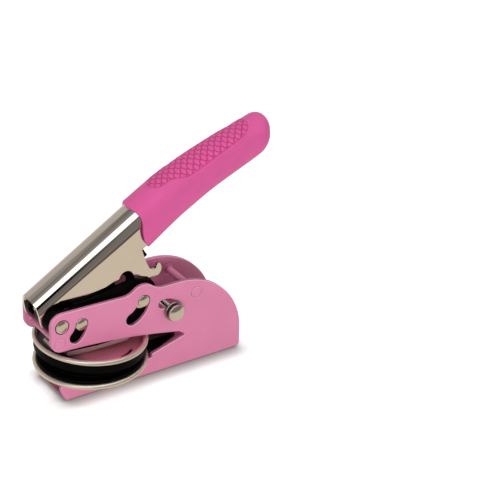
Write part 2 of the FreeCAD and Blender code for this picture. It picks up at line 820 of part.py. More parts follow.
def build_ram_sole():
    """The steel sole under the ram, curved up at its toe, with a blunt nose in front."""
    body = new_body("ram_sole")
    joint = "sole_bottom + sole_gauge"
    side = new_sketch(body, "XZ_Plane", "sole_outline")
    outline(side, [
        ("sole_toe_x", "sole_toe_z", "sole_toe_radius", LEFT),
        ("sole_flat_front", "sole_bottom"),
        ("sole_flat_rear", "sole_bottom", "sole_heel_radius", LEFT),
        ("sole_heel_x", joint),
        ("sole_flat_front", joint),
        ("sole_toe_x", "sole_toe_z + sole_gauge"),
    ])
    pad(body, side, "sole_form", "2 * ram_outer")
    nose = new_sketch(body, "XZ_Plane", "nose_outline")
    outline(nose, [
        ("nose_front + nose_round", "nose_low"),
        ("sole_toe_x", "sole_toe_z"),
        ("nose_rear", "nose_root_z"),
        ("nose_back_x", "nose_back_z"),
        ("nose_front + nose_round", "nose_high", "nose_round", LEFT),
        ("nose_front", "nose_high - nose_round"),
        ("nose_front", "nose_low + nose_round", "nose_round", LEFT),
    ])
    pad(body, nose, "nose", "2 * nose_half")


def build_guide_studs():
    """Two shouldered studs that carry the ram's tail in the curved frame slots."""
    for side, sign in (("near", NEAR), ("far", FAR)):
        places = [
            ("0", "ram_inner"),
            ("pin_radius", "ram_inner"),
            ("pin_radius", "ring_inner"),
            ("ring_radius", "ring_inner"),
            ("ring_radius", "ring_outer"),
            ("pin_radius", "ring_outer"),
            ("pin_radius", "pin_reach"),
            ("0", "pin_reach"),
        ]
        if sign == NEAR:
            places = [(radius, "-(%s)" % place) for radius, place in reversed(places)]
        turned("guide_stud_" + side, places, GUIDE_X, GUIDE_Z)


def build_lock():
    """The lock pin through both window slots, its spool-shaped knob and its retainer."""
    flange_front = "-knob_face + knob_head_length + knob_neck_length"
    flange_back = flange_front + " + knob_flange_length"
    turned("lock_knob", [
        ("0", flange_back),
        ("0", "-knob_face"),
        ("knob_head - knob_edge", "-knob_face"),
        ("knob_head", "-knob_face + knob_edge"),
        ("knob_head", "-knob_face + knob_head_length"),
        ("knob_neck", "-knob_face + knob_head_length"),
        ("knob_neck", flange_front),
        ("knob_flange - knob_edge", flange_front),
        ("knob_flange", flange_front + " + knob_edge"),
        ("knob_flange", flange_back),
    ], LOCK_X, LOCK_Z)
    plain_pin("lock_pin", "lock_radius", flange_back, "lock_tail", LOCK_X, LOCK_Z)
    ring("lock_retainer", "lock_radius", "retainer_radius",
         "frame_width / 2 + retainer_gap",
         "frame_width / 2 + retainer_gap + retainer_length", LOCK_X, LOCK_Z)


def bead(height, start):
    """Follow the rolled rim in flats, from the start angle by its outside to its inside."""
    return [polar("rim_radius", height, "rim_bead", str(angle)) for angle in range(start, 181, 45)]


def build_lower_clip():
    """The lower die plate with its rolled rim, and the raised black die on it."""
    plate = new_body("lower_die_plate")
    section = new_sketch(plate, "XZ_Plane", "lower_plate_section")
    outline(section, [("0", "lower_rim_z - rim_bead")] + bead("lower_rim_z", -90)
            + [("0", "lower_rim_z")])
    revolve(plate, section, "lower_plate_form")
    die = new_body("lower_die")
    section = new_sketch(die, "XZ_Plane", "lower_die_section")
    outline(section, [
        ("0", "lower_rim_z"),
        ("die_core", "lower_rim_z"),
        ("die_core", "die_skirt_low"),
        ("die_skirt", "die_skirt_low"),
        ("die_skirt", "die_shoulder"),
        ("die_face_radius", "die_shoulder"),
        ("die_face_radius", "die_face"),
        ("0", "die_face"),
    ])
    revolve(die, section, "lower_die_form")


def tilt_about_centre(body):
    """Raise the front of a piece of the upper clip half by the open angle."""
    body.Placement = FreeCAD.Placement(
        FreeCAD.Vector(), FreeCAD.Rotation(FreeCAD.Vector(0, 1, 0), value("upper_tilt")))
    body.setExpression("Placement.Base.z", scoped("upper_rim_z"))
    body.setExpression("Placement.Rotation.Angle", scoped("upper_tilt"))


def build_upper_clip():
    """The upper die plate, a shallow pan with three slots, and the counter die under it."""
    plate = new_body("upper_die_plate")
    section = new_sketch(plate, "XZ_Plane", "upper_plate_section")
    wall = "rim_radius - rim_bead + pan_gauge"
    meet = "-sqrt(rim_bead * rim_bead - (rim_bead - pan_gauge) * (rim_bead - pan_gauge))"
    outline(section, [
        ("0", "-pan_depth - pan_gauge"),
        (wall, "-pan_depth - pan_gauge"),
        (wall, meet),
    ] + bead("0", -45) + [
        ("rim_radius - rim_bead", "-pan_depth"),
        ("0", "-pan_depth"),
    ])
    revolve(plate, section, "upper_plate_form")
    slot = new_sketch(plate, "XY_Plane", "upper_plate_slot", "-pan_depth")
    outline(slot, arc_slot("0", "0", "slot_ring", "slot_width / 2",
                           "slot_place - slot_sweep", "slot_place + slot_sweep"))
    cut = pocket(plate, slot, "upper_plate_slot_cut", "cut_margin")
    spread = plate.newObject("PartDesign::PolarPattern", "upper_plate_slots")
    spread.Originals = [cut]
    spread.Axis = (slot, ["N_Axis"])
    spread.Angle = 360.0
    spread.Occurrences = 3
    plate.Tip = spread
    tilt_about_centre(plate)
    die = new_body("upper_die")
    section = new_sketch(die, "XZ_Plane", "upper_die_section")
    floor_z = "-pan_depth - pan_gauge - counter_gap"
    face_z = "-pan_depth - pan_gauge - counter_depth"
    outline(section, [
        ("0", face_z),
        ("counter_radius", face_z),
        ("counter_radius", "-counter_top"),
        (wall + " + counter_gap", "-counter_top"),
        (wall + " + counter_gap", floor_z),
        ("0", floor_z),
    ])
    revolve(die, section, "upper_die_form")
    relief = new_sketch(die, "XZ_Plane", "strap_relief_outline")
    strap_z = "-pan_depth - pan_gauge - strap_gauge - strap_relief"
    outline(relief, [
        ("strap_front - cut_margin", strap_z),
        ("counter_radius + cut_margin", strap_z),
        ("counter_radius + cut_margin", "-pan_depth"),
        (wall, "-pan_depth"),
        (wall, "-pan_depth - pan_gauge + counter_gap"),
        ("strap_front - cut_margin", "-pan_depth - pan_gauge + counter_gap"),
    ])
    pocket(die, relief, "strap_relief_cut", "2 * (strap_half + strap_play)")
    tilt_about_centre(die)


def under_plate(x, drop):
    """Give the height of a point under the tilted upper plate, as it stands open."""
    return ("upper_rim_z - (%s) * tan(upper_tilt) - (pan_depth + pan_gauge + %s) / cos(upper_tilt)"
            % (x, drop))


def build_clip_spring():
    """The folded strap: flat under the lower plate, round its bend, flat under the upper."""
    body = new_body("clip_spring")
    side = new_sketch(body, "XZ_Plane", "strap_outline")
    low = "lower_rim_z - rim_bead - strap_gauge"
    outer = "(strap_bend + strap_gauge)"
    bend = ("strap_bend_x", "strap_bend_z")
    outline(side, [
        ("strap_front", low),
        ("strap_knee_x", low),
        polar(*bend, outer, "strap_lower_angle - 90") + (outer, LEFT),
        polar(*bend, outer, "0") + (outer, LEFT),
        polar(*bend, outer, "strap_upper_angle"),
        ("strap_upper_knee", under_plate("strap_upper_knee", "strap_gap")),
        ("strap_front", under_plate("strap_front", "strap_gap")),
        ("strap_front", under_plate("strap_front", "strap_gauge")),
        ("strap_upper_knee", under_plate("strap_upper_knee", "strap_gauge")),
        polar(*bend, "strap_bend", "strap_upper_angle") + ("strap_bend", RIGHT),
        polar(*bend, "strap_bend", "0") + ("strap_bend", RIGHT),
        polar(*bend, "strap_bend", "strap_lower_angle - 90"),
        ("strap_inner_knee_x", low + " + strap_gauge"),
        ("strap_front", low + " + strap_gauge"),
    ])
    pad(body, side, "strap_form", "2 * strap_half")


def rivet_pair(label, height):
    """Two equal rivet heads, one each side of the middle, standing on one height."""
    heads = []
    for side in (NEAR, FAR):
        spot = FreeCAD.Vector(value("rivet_x"), side * value("rivet_y"), value(height))
        heads.append(Part.makeCylinder(value("rivet_head"), value("rivet_head_height"), spot))
    feature = doc.addObject("Part::Feature", label)
    feature.Label = label
    feature.Shape = Part.makeCompound(heads)
    return feature


def build_strap_rivets():
    """The rivets that hold the strap; their heads show under and over the clip."""
    rivet_pair("lower_strap_rivets",
               "lower_rim_z - rim_bead - strap_gauge - rivet_head_height")
    upper = rivet_pair("upper_strap_rivets", "-pan_depth")
    upper.Placement = FreeCAD.Placement(
        FreeCAD.Vector(0, 0, value("upper_rim_z")),
        FreeCAD.Rotation(FreeCAD.Vector(0, 1, 0), value("upper_tilt")))


def build_return_spring():
    """Torsion spring on the pivot: a coil, a leg down to the front bar and one up the lever."""
    coil, wire = value("coil_radius"), value("wire_radius")
    pitch, turns = value("coil_pitch"), value("coil_turns")
    coil_sides, wire_sides = int(value("coil_sides")), int(value("wire_sides"))
    half = pitch * turns / 2.0
    lean = math.radians(value("lever_angle"))
    along = FreeCAD.Vector(math.cos(lean), 0, math.sin(lean))
    above = FreeCAD.Vector(-math.sin(lean), 0, math.cos(lean))
    pivot = FreeCAD.Vector(value("pivot_x"), 0, value("pivot_z"))
    far = FreeCAD.Vector(0, half, 0)
    route = [FreeCAD.Vector(value("leg_down_x"), half, value("leg_down_z"))]
    steps = int(turns * coil_sides)
    for step in range(steps + 1):
        turn = 2.0 * math.pi * step / coil_sides
        place = pivot + far - FreeCAD.Vector(0, pitch * step / coil_sides, 0)
        route.append(place + FreeCAD.Vector(math.cos(turn), 0, math.sin(turn)) * coil)
    route.append(pivot - far + above * coil + along * value("leg_along"))
    route.append(pivot - far + above * value("leg_tip_z") + along * value("leg_along"))
    first = (route[1] - route[0]).normalize()
    side = FreeCAD.Vector(0, 1, 0)
    other = first.cross(side)
    ring_of_points = []
    for step in range(wire_sides + 1):
        turn = 2.0 * math.pi * step / wire_sides
        ring_of_points.append(route[0] + (side * math.cos(turn) + other * math.sin(turn)) * wire)
    path = Part.makePolygon(route)
    shape = path.makePipeShell([Part.makePolygon(ring_of_points)], True, False, 1)
    feature = doc.addObject("Part::Feature", "return_spring")
    feature.Label = "return_spring"
    feature.Shape = shape


def check_document():
    """Stop if any object failed or any sub-part's shape isn't sound."""
    for item in doc.Objects:
        if "Invalid" in item.State or "Error" in item.State:
            raise RuntimeError("failed object: %s %s" % (item.Name, item.State))
    for label in SUBPARTS:
        shape = doc.getObject(label).Shape
        if shape.isNull() or not shape.isValid() or not shape.Solids:
            raise RuntimeError("unsound shape: " + label)


def write_parts():
    """Write one STEP file for each sub-part."""
    os.makedirs("parts", exist_ok=True)
    for label in SUBPARTS:
        doc.getObject(label).Shape.exportStep("parts/%s.step" % label)


fill_sheet()
build_side_frame()
build_bars()
build_lever_channel()
build_lever_pins()
build_grip_core()
build_hand_grip()
build_ram()
build_ram_sole()
build_guide_studs()
build_lock()
build_lower_clip()
build_upper_clip()
build_clip_spring()
build_strap_rivets()
build_return_spring()
doc.recompute()
check_document()
write_parts()
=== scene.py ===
import logging
import math
from collections.abc import Callable, Sequence
from dataclasses import dataclass, replace
from enum import Enum

import bpy
from mathutils import Matrix, Vector


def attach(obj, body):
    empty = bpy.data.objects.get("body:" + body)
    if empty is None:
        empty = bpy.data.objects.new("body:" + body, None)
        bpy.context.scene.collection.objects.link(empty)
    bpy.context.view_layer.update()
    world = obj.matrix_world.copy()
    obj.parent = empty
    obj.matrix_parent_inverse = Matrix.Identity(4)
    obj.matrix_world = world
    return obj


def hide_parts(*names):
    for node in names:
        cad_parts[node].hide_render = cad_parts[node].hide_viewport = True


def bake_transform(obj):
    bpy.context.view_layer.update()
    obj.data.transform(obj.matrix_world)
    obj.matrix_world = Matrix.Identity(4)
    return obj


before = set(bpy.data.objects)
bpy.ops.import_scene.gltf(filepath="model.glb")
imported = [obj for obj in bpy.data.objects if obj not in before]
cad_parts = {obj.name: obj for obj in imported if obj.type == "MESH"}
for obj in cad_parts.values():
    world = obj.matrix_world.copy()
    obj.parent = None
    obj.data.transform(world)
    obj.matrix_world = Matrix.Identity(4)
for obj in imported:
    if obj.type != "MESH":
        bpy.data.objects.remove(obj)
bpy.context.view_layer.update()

LOG = logging.getLogger("seal_embosser")
MM = 0.001

# The pieces' sizes are in millimetres. Their points, the finishes and the studio are in metres.
Pair = tuple[float, float]
Point = tuple[float, float, float]
Colour = tuple[float, float, float]
Pairs = Sequence[Pair]
Knots = Sequence[tuple[float, ...]]
Tones = Sequence[tuple[float, Colour]]
Ring = list[tuple[Vector, float]]
Piece = bpy.types.Object
Node = bpy.types.Node
Socket = bpy.types.NodeSocket

LEVER_ANGLE = math.radians(31.6)
LEVER_AHEAD = Vector((math.cos(LEVER_ANGLE), 0.0, math.sin(LEVER_ANGLE)))
LEVER_ABOVE = Vector((-math.sin(LEVER_ANGLE), 0.0, math.cos(LEVER_ANGLE)))
PIVOT = Vector((-20.6, 0.0, 38.7)) * MM
UPRIGHT = Matrix.Rotation(math.pi / 2.0, 4, "X")
SHARP_ANGLE = math.radians(35.0)
TURNED_SIDES = 80
HOOP_SIDES = (128, 20)
DOME_STEPS = 10
DOME_MIDDLE = 0.03
SIDES = (("near", -1.0), ("far", 1.0))
EDGE_SAMPLES = 8
SKY_SAMPLES = 16
MOTTLE_DETAIL = 4.0
MOTTLE_STOPS = (0.3, 0.7)


# --- Meshes ---


def point_mm(x: float, y: float, z: float) -> Vector:
    """Give a point of the frame from millimetres."""
    return Vector((x, y, z)) * MM


def on_lever(along: float, side: float, above: float) -> Vector:
    """Give a point of the frame from distances along, across and above the lever's pivot."""
    return PIVOT + (LEVER_AHEAD * along + LEVER_ABOVE * above + Vector((0.0, side, 0.0))) * MM


def even(first: float, last: float, steps: int) -> list[float]:
    """Give evenly spaced values from first to last, one more than the steps."""
    return [first + step * (last - first) / steps for step in range(steps + 1)]


def clamp(share: float) -> float:
    """Keep a share within 0 and 1."""
    return min(max(share, 0.0), 1.0)


def round_steps(count: int) -> Pairs:
    """Give the cosine and sine at even steps round a circle."""
    turns = [2.0 * math.pi * step / count for step in range(count)]
    return [(math.cos(turn), math.sin(turn)) for turn in turns]


def new_object(name: str, data: bpy.types.ID) -> Piece:
    """Make an object and link it to the scene."""
    made = bpy.data.objects.new(name, data)
    bpy.context.scene.collection.objects.link(made)
    return made


def mesh_piece(name: str, points: list[Vector], faces: list[tuple[int, ...]],
               sharp: bool = False) -> Piece:
    """Make a smooth-shaded mesh object.

    Args:
        name: Name of the piece.
        points: Corners.
        faces: Corner numbers of each face.
        sharp: Whether its sharp edges stay sharp.

    Returns:
        The new object, linked to the scene.
    """
    mesh = bpy.data.meshes.new(name)
    mesh.from_pydata(points, [], faces)
    mesh.validate()
    for polygon in mesh.polygons:
        polygon.use_smooth = True
    if sharp:
        mesh.set_sharp_from_angle(angle=SHARP_ANGLE)
    return new_object(name, mesh)


def tube_faces(rings: int, sides: int, closed: bool) -> list[tuple[int, ...]]:
    """List the faces of a tube of rings.

    Args:
        rings: Number of rings along the tube.
        sides: Number of points in each ring.
        closed: Whether the last ring joins the first.

    Returns:
        Four-cornered faces, with a cap at each end of an open tube.
    """
    faces: list[tuple[int, ...]] = []
    for ring in range(rings if closed else rings - 1):
        start = ring * sides
        after = (ring + 1) % rings * sides
        for side in range(sides):
            beside = (side + 1) % sides
            faces.append((start + side, start + beside, after + beside, after + side))
    if not closed:
        faces.append(tuple(reversed(range(sides))))
        faces.append(tuple((rings - 1) * sides + side for side in range(sides)))
    return faces


def swept_piece(name: str, route: list[Vector], section: Pairs, sharp: bool = False) -> Piece:
    """Sweep a section along a route, kept square to the route.

    Args:
        name: Name of the piece.
        route: Points of the piece's middle line.
        section: How far each corner lies to the far side of the middle line and above it.
        sharp: Whether its sharp edges stay sharp.

    Returns:
        The new object.
    """
    points: list[Vector] = []
    normal = Vector((0.0, 1.0, 0.0))
    last = len(route) - 1
    for index, place in enumerate(route):
        run = (route[min(index + 1, last)] - route[max(index - 1, 0)]).normalized()
        normal = (normal - run * normal.dot(run)).normalized()
        upward = run.cross(normal)
        points += [place + (normal * side + upward * lift) * MM for side, lift in section]
    return mesh_piece(name, points, tube_faces(len(route), len(section), closed=False), sharp)


def hoop_piece(name: str, hoop: float, wire: float, place: Matrix) -> Piece:
    """Make a round hoop of round wire about the Z axis of a placement.

    Args:
        name: Name of the piece.
        hoop: Radius of the hoop's middle line.
        wire: Radius of the wire.
        place: Where the hoop stands.

    Returns:
        The new object.
    """
    rings, sides = HOOP_SIDES
    points = [place @ point_mm((hoop + wire * out) * along, (hoop + wire * out) * across,
                               wire * rise)
              for along, across in round_steps(rings) for out, rise in round_steps(sides)]
    return mesh_piece(name, points, tube_faces(rings, sides, closed=True))


def turned_piece(name: str, profile: Pairs, x: float, z: float) -> Piece:
    """Turn a profile about a cross axis.

    Args:
        name: Name of the piece.
        profile: Radius and place across of each point, from end to end.
        x: Place of the axis along the frame.
        z: Height of the axis.

    Returns:
        The new object, with its sharp edges kept sharp.
    """
    points = [point_mm(x + radius * cosine, across, z + radius * sine)
              for radius, across in profile for cosine, sine in round_steps(TURNED_SIDES)]
    faces = tube_faces(len(profile), TURNED_SIDES, closed=False)
    return mesh_piece(name, points, faces, sharp=True)


def dome(edge: float, base: float, rise: float, way: float) -> list[Pair]:
    """Lay out a shallow dome for the end of a turned piece, from its edge to its middle.

    Args:
        edge: Radius of the dome's edge.
        base: Place across of its edge.
        rise: How far its middle stands proud of its edge.
        way: The way it faces, -1 for the near side or 1 for the far side.

    Returns:
        Radius and place across of each point.
    """
    ball = (edge * edge + rise * rise) / (2.0 * rise)
    radii = even(edge, edge * DOME_MIDDLE, DOME_STEPS)
    return [(radius, base + way * (math.sqrt(ball * ball - radius * radius) - (ball - rise)))
            for radius in radii]


def smooth_between(knots: Knots, at: float) -> tuple[float, ...]:
    """Read a smooth curve through knots.

    Args:
        knots: Rows of a place followed by the values there, in rising order of place.
        at: The place to read.

    Returns:
        The values at that place, on a Catmull-Rom curve.
    """
    last = len(knots) - 1
    index = 0
    while index < last - 1 and knots[index + 1][0] < at:
        index += 1
    low, high = knots[index], knots[index + 1]
    before, after = knots[max(index - 1, 0)], knots[min(index + 2, last)]
    span = high[0] - low[0]
    share = clamp((at - low[0]) / span)
    values: list[float] = []
    for item in range(1, len(low)):
        rise_low = (high[item] - before[item]) / (high[0] - before[0]) * span
        rise_high = (after[item] - low[item]) / (after[0] - low[0]) * span
        squared, cubed = share * share, share ** 3
        values.append((2 * cubed - 3 * squared + 1) * low[item]
                      + (cubed - 2 * squared + share) * rise_low
                      + (3 * squared - 2 * cubed) * high[item]
                      + (cubed - squared) * rise_high)
    return tuple(values)


# --- Finishes ---


class Grain(Enum):
    """The fine surface that a finish has, as the stretch of its pattern along each axis."""

    EVEN = (1.0, 1.0, 1.0)
    POLISHED = (0.03, 1.0, 1.0)
    TURNED = (1.0, 0.05, 1.0)
    ROLLED = (0.15, 1.0, 1.0)


class NodeSheet:
    """A short-hand for building the nodes of a material or the world."""

    def __init__(self, owner: bpy.types.ID, output: str = "OutputMaterial") -> None:
        """Start on an empty sheet with one output node."""
        owner.use_nodes = True
        self.tree = owner.node_tree
        self.tree.nodes.clear()
        self.surface = self.add(output).inputs["Surface"]

    def add(self, kind: str, inputs: dict[str | int, object] | None = None,
            **settings: object) -> Node:
        """Add a node.

        Args:
            kind: Blender's name for the node type, without ShaderNode.
            inputs: A socket or a plain value for each named or numbered input.
            settings: Properties of the node, by name.

        Returns:
            The new node.
        """
        node = self.tree.nodes.new("ShaderNode" + kind)
        for key, setting in settings.items():
            setattr(node, key, setting)
        for key, entry in (inputs or {}).items():
            if isinstance(entry, Socket):
                self.link(entry, node.inputs[key])
            else:
                node.inputs[key].default_value = entry
        return node

    def link(self, source: Socket, target: Socket) -> None:
        """Join two sockets."""
        self.tree.links.new(source, target)

    def place(self, kind: str = "Object") -> Socket:
        """Give the coordinates of one kind."""
        return self.add("TexCoord").outputs[kind]

    def parts(self, vector: Socket) -> list[Socket]:
        """Split a vector into its three parts."""
        return list(self.add("SeparateXYZ", {0: vector}).outputs)

    def math(self, operation: str, *entries: object) -> Socket:
        """Work out a math operation on sockets or numbers."""
        return self.add("Math", dict(enumerate(entries)), operation=operation).outputs[0]

    def spread(self, source: Socket, start: float, end: float, low: float = 0.0,
               high: float = 1.0) -> Socket:
        """Map a value from the range start to end onto the range low to high."""
        return self.add("MapRange", {"Value": source, "From Min": start, "From Max": end,
                                     "To Min": low, "To Max": high}).outputs["Result"]

    def mix(self, share: Socket, first: object, second: object) -> Socket:
        """Mix two colours by a share."""
        return self.add("Mix", {"Factor": share, "A": first, "B": second},
                        data_type="RGBA").outputs["Result"]

    def noise(self, vector: Socket, scale: float, detail: float) -> Socket:
        """Give a noise pattern's value."""
        return self.add("TexNoise", {"Vector": vector, "Scale": scale,
                                     "Detail": detail}).outputs["Fac"]

    def ramp(self, source: Socket, stops: Tones) -> Socket:
        """Colour a value by stops.

        Args:
            source: The value.
            stops: Places from 0 to 1, each with its colour.

        Returns:
            The colour.
        """
        node = self.add("ValToRGB", {"Fac": source})
        elements = node.color_ramp.elements
        while len(elements) < len(stops):
            elements.new(1.0)
        for element, (place, colour) in zip(elements, stops):
            element.position = place
            element.color = (*colour, 1.0)
        return node.outputs["Color"]

    def by_ray(self, plain: Node, mirrored: Node, seen: Node) -> None:
        """Finish the sheet with a shader for each kind of ray.

        Args:
            plain: What lights the object.
            mirrored: What metal and glass show.
            seen: What the camera sees.
        """
        path = self.add("LightPath").outputs
        shown = self.math("MAXIMUM", path["Is Glossy Ray"], path["Is Transmission Ray"])
        inner = self.add("MixShader", {0: shown, 1: plain.outputs[0], 2: mirrored.outputs[0]})
        outer = self.add("MixShader", {0: path["Is Camera Ray"], 1: inner.outputs[0],
                                       2: seen.outputs[0]})
        self.link(outer.outputs[0], self.surface)


def shade(colour: Colour, factor: float) -> Colour:
    """Darken or lighten a colour."""
    return tuple(min(part * factor, 1.0) for part in colour)


@dataclass(frozen=True)
class Finish:
    """A surface: its colour, gloss and fine grain."""

    name: str
    colour: Colour
    roughness: float
    metallic: float = 0.0
    specular: float = 0.5
    sheen: float = 0.0
    grain: Grain = Grain.EVEN
    grain_scale: float = 2000.0
    grain_detail: float = 3.0
    grain_depth: float = 0.00001
    grain_strength: float = 1.0
    gloss_spread: float = 0.15
    mottle: float = 0.05
    mottle_scale: float = 90.0
    edge: float = 0.0002
    # Painted highlight along the coat's upper edges: its strength, where it starts and ends, and
    # its colour.
    edge_highlight: float = 0.0
    edge_highlight_span: Pair = (0.06, 0.34)
    edge_highlight_tone: Colour = (0.98, 0.62, 0.78)
    # Colour of the painted shade in the grooves, or nothing for no grooves.
    groove: Colour | None = None

    def material(self) -> bpy.types.Material:
        """Return this finish's material, made the first time.

        Returns:
            The material.
        """
        name = self.name + "_finish"
        if name in bpy.data.materials:
            return bpy.data.materials[name]
        made = bpy.data.materials.new(name)
        sheet = NodeSheet(made)
        shader = sheet.add("BsdfPrincipled", {
            "Metallic": self.metallic, "Specular IOR Level": self.specular,
            "Sheen Weight": self.sheen,
        })
        sheet.link(shader.outputs[0], sheet.surface)
        lean = LEVER_ANGLE if self.grain is Grain.POLISHED else 0.0
        stretched = sheet.add("Mapping", {"Vector": sheet.place(), "Rotation": (0.0, lean, 0.0),
                                          "Scale": self.grain.value})
        grain = sheet.noise(stretched.outputs["Vector"], self.grain_scale, self.grain_detail)
        gloss = sheet.spread(grain, 0.0, 1.0, self.roughness * (1.0 - self.gloss_spread),
                             self.roughness * (1.0 + self.gloss_spread))
        bump = sheet.add("Bump", {"Height": grain, "Strength": self.grain_strength,
                                  "Distance": self.grain_depth})
        colour = self.colour_in(sheet, shader)
        if self.edge > 0.0:
            soft = sheet.add("Bevel", {"Radius": self.edge}, samples=EDGE_SAMPLES).outputs["Normal"]
            sheet.link(soft, bump.inputs["Normal"])
            # Paint a highlight along the upper edges, where light from above falls.
            if self.edge_highlight > 0.0:
                colour = self.paint_edge_highlight(sheet, soft, colour)
        sheet.link(colour, shader.inputs["Base Color"])
        sheet.link(gloss, shader.inputs["Roughness"])
        sheet.link(bump.outputs["Normal"], shader.inputs["Normal"])
        return made

    def paint_edge_highlight(self, sheet: NodeSheet, soft: Socket, colour: Socket) -> Socket:
        """Paint a highlight on the coat along its upper edges, where light from above falls.

        Args:
            sheet: The material's node sheet.
            soft: The surface's direction with its edges rounded.
            colour: The coat's colour.

        Returns:
            The colour with the painted highlight.
        """
        flat = sheet.add("NewGeometry").outputs["True Normal"]
        turn = sheet.add("VectorMath", {0: soft, 1: flat}, operation="SUBTRACT")
        upward = sheet.parts(turn.outputs["Vector"])[2]
        share = sheet.spread(upward, *self.edge_highlight_span, 0.0, self.edge_highlight)
        return sheet.mix(share, colour, (*self.edge_highlight_tone, 1.0))

    def colour_in(self, sheet: NodeSheet, shader: Node) -> Socket:
        """Give the colour, with a broad, faint variation, and painted shade in its grooves.

        Args:
            sheet: The material's node sheet.
            shader: The shader, for finishes that change more than its colour.

        Returns:
            The colour.
        """
        broad = sheet.noise(sheet.place(), self.mottle_scale, MOTTLE_DETAIL)
        tones = (shade(self.colour, 1.0 - self.mottle), shade(self.colour, 1.0 + self.mottle))
        colour = sheet.ramp(broad, tuple(zip(MOTTLE_STOPS, tones)))
        if self.groove is None:
            return colour
        # Painted shade in the grooves, weighted by the mesh's groove depth.
        depth = sheet.add("Attribute", attribute_name="groove").outputs["Fac"]
        return sheet.mix(depth, colour, (*self.groove, 1.0))


@dataclass(frozen=True)
class PanFinish(Finish):
    """Bright plate with a painted rose reflection of the pink frame on the pan's floor, inside its
    rolled rim, fading to painted shade at the front.
    """

    # Painted rose reflection of the pink frame on the pan's floor, painted black shade at its
    # front, and where they lie.
    rose_reflection: Colour = (0.74, 0.215, 0.305)
    front_shade: Colour = (0.004, 0.003, 0.003)
    reflection_radius: float = 0.0237
    reflection_edge: float = 0.0003
    front_shade_span: Pair = (-0.017, -0.009)

    def colour_in(self, sheet: NodeSheet, shader: Node) -> Socket:
        """Paint the rose reflection and the front's shade on the pan's floor, where the shader is
        no metal.

        Args:
            sheet: The material's node sheet.
            shader: The shader.

        Returns:
            The colour.
        """
        along, across, _ = sheet.parts(sheet.place())
        reach = sheet.math("SQRT", sheet.math("ADD", sheet.math("POWER", along, 2.0),
                                              sheet.math("POWER", across, 2.0)))
        floor = sheet.spread(reach, self.reflection_radius, self.reflection_radius + self.reflection_edge,
                             1.0, 0.0)
        # Painted shade at the front fades into the painted rose reflection.
        reflection_and_shade = sheet.ramp(sheet.spread(along, *self.front_shade_span),
                           [(0.0, self.front_shade), (1.0, self.rose_reflection)])
        sheet.link(sheet.math("SUBTRACT", 1.0, floor), shader.inputs["Metallic"])
        return sheet.mix(floor, super().colour_in(sheet, shader), reflection_and_shade)


# The coat carries the painted highlight along its upper edges.
PINK_COAT = Finish("pink_powder_coat", (0.665, 0.215, 0.370), 0.42, grain_scale=1500.0,
                   grain_depth=0.00002, mottle=0.03, edge=0.0007, edge_highlight=0.95)
# Darker pink for the fine rings round the bar ends: painted shade in the crease where bar and plate
# meet.
CREASE_SHADE_COAT = Finish("coat_crease_shade", (0.50, 0.13, 0.25), 0.6)
SOFT_PINK = Finish("soft_pink_grip", (0.650, 0.095, 0.300), 0.50, specular=0.35, sheen=0.05,
                   grain_scale=2200.0, grain_detail=2.0, grain_depth=0.00003,
                   grain_strength=0.6, gloss_spread=0.1, mottle=0.03, mottle_scale=120.0,
                   edge=0.0, groove=(0.46, 0.024, 0.150))
LEVER_CHROME = Finish("lever_chrome", (0.80, 0.77, 0.72), 0.055, metallic=1.0,
                      grain=Grain.POLISHED, grain_scale=900.0, grain_depth=0.0000006,
                      mottle=0.015, edge=0.0)
PIN_STEEL = Finish("turned_pin_steel", (0.74, 0.71, 0.65), 0.17, metallic=1.0,
                   grain=Grain.TURNED, grain_scale=1500.0, grain_depth=0.000003, edge=0.0)
KNOB_STEEL = replace(PIN_STEEL, name="bright_knob_plate", colour=(0.72, 0.69, 0.63),
                     roughness=0.15, grain_scale=1400.0)
# A darkened copy of the knob's steel: painted shade on the wide washer where it closes the far
# plate's window.
SHADE_DARK_WASHER_STEEL = replace(KNOB_STEEL, name="shade_dark_washer_steel", colour=(0.16, 0.145, 0.135),
                       roughness=0.34)
# A darker copy of the knob's steel: painted shade on the collar behind the knob's head.
SHADED_COLLAR_STEEL = replace(KNOB_STEEL, name="shaded_collar_steel", colour=(0.30, 0.285, 0.26),
                       roughness=0.30)
SPRING_STEEL = Finish("blackened_spring_steel", (0.040, 0.037, 0.036), 0.30, metallic=0.9,
                      grain=Grain.ROLLED, grain_scale=1500.0)
SOLE_STEEL = Finish("sole_steel", (0.66, 0.63, 0.57), 0.42, metallic=0.65,
                    grain=Grain.ROLLED, grain_scale=1300.0, grain_depth=0.000006, mottle=0.08)
NICKEL = {"colour": (0.80, 0.75, 0.67), "roughness": 0.42, "metallic": 1.0,
          "grain_scale": 700.0, "grain_depth": 0.0000012, "mottle": 0.03, "edge": 0.0}
PLATE_NICKEL = Finish("plate_nickel", **NICKEL)
PAN_NICKEL = PanFinish("pan_nickel", **NICKEL)
# The upper rim's inner side takes the pan's painted reflection and shade.
RIM_NICKEL = PanFinish("rim_nickel", **NICKEL, reflection_radius=0.0243)
RAM_BLACK = Finish("ram_black", (0.0022, 0.0018, 0.0018), 0.46, specular=0.03,
                   grain_scale=1300.0, grain_depth=0.000008, mottle=0.2)
DIE_BLACK = Finish("die_black", (0.0018, 0.0018, 0.0018), 0.42, specular=0.03,
                   grain_scale=1700.0, mottle=0.2)
# Black for the real moulded rings, bushes and core, and for the strips and ring of painted shade on
# the frame.
BLACK_MOULDING_AND_SHADE = replace(DIE_BLACK, name="black_moulding_and_shade", colour=(0.0022, 0.0020, 0.0020),
                         roughness=0.5, grain_scale=1500.0)


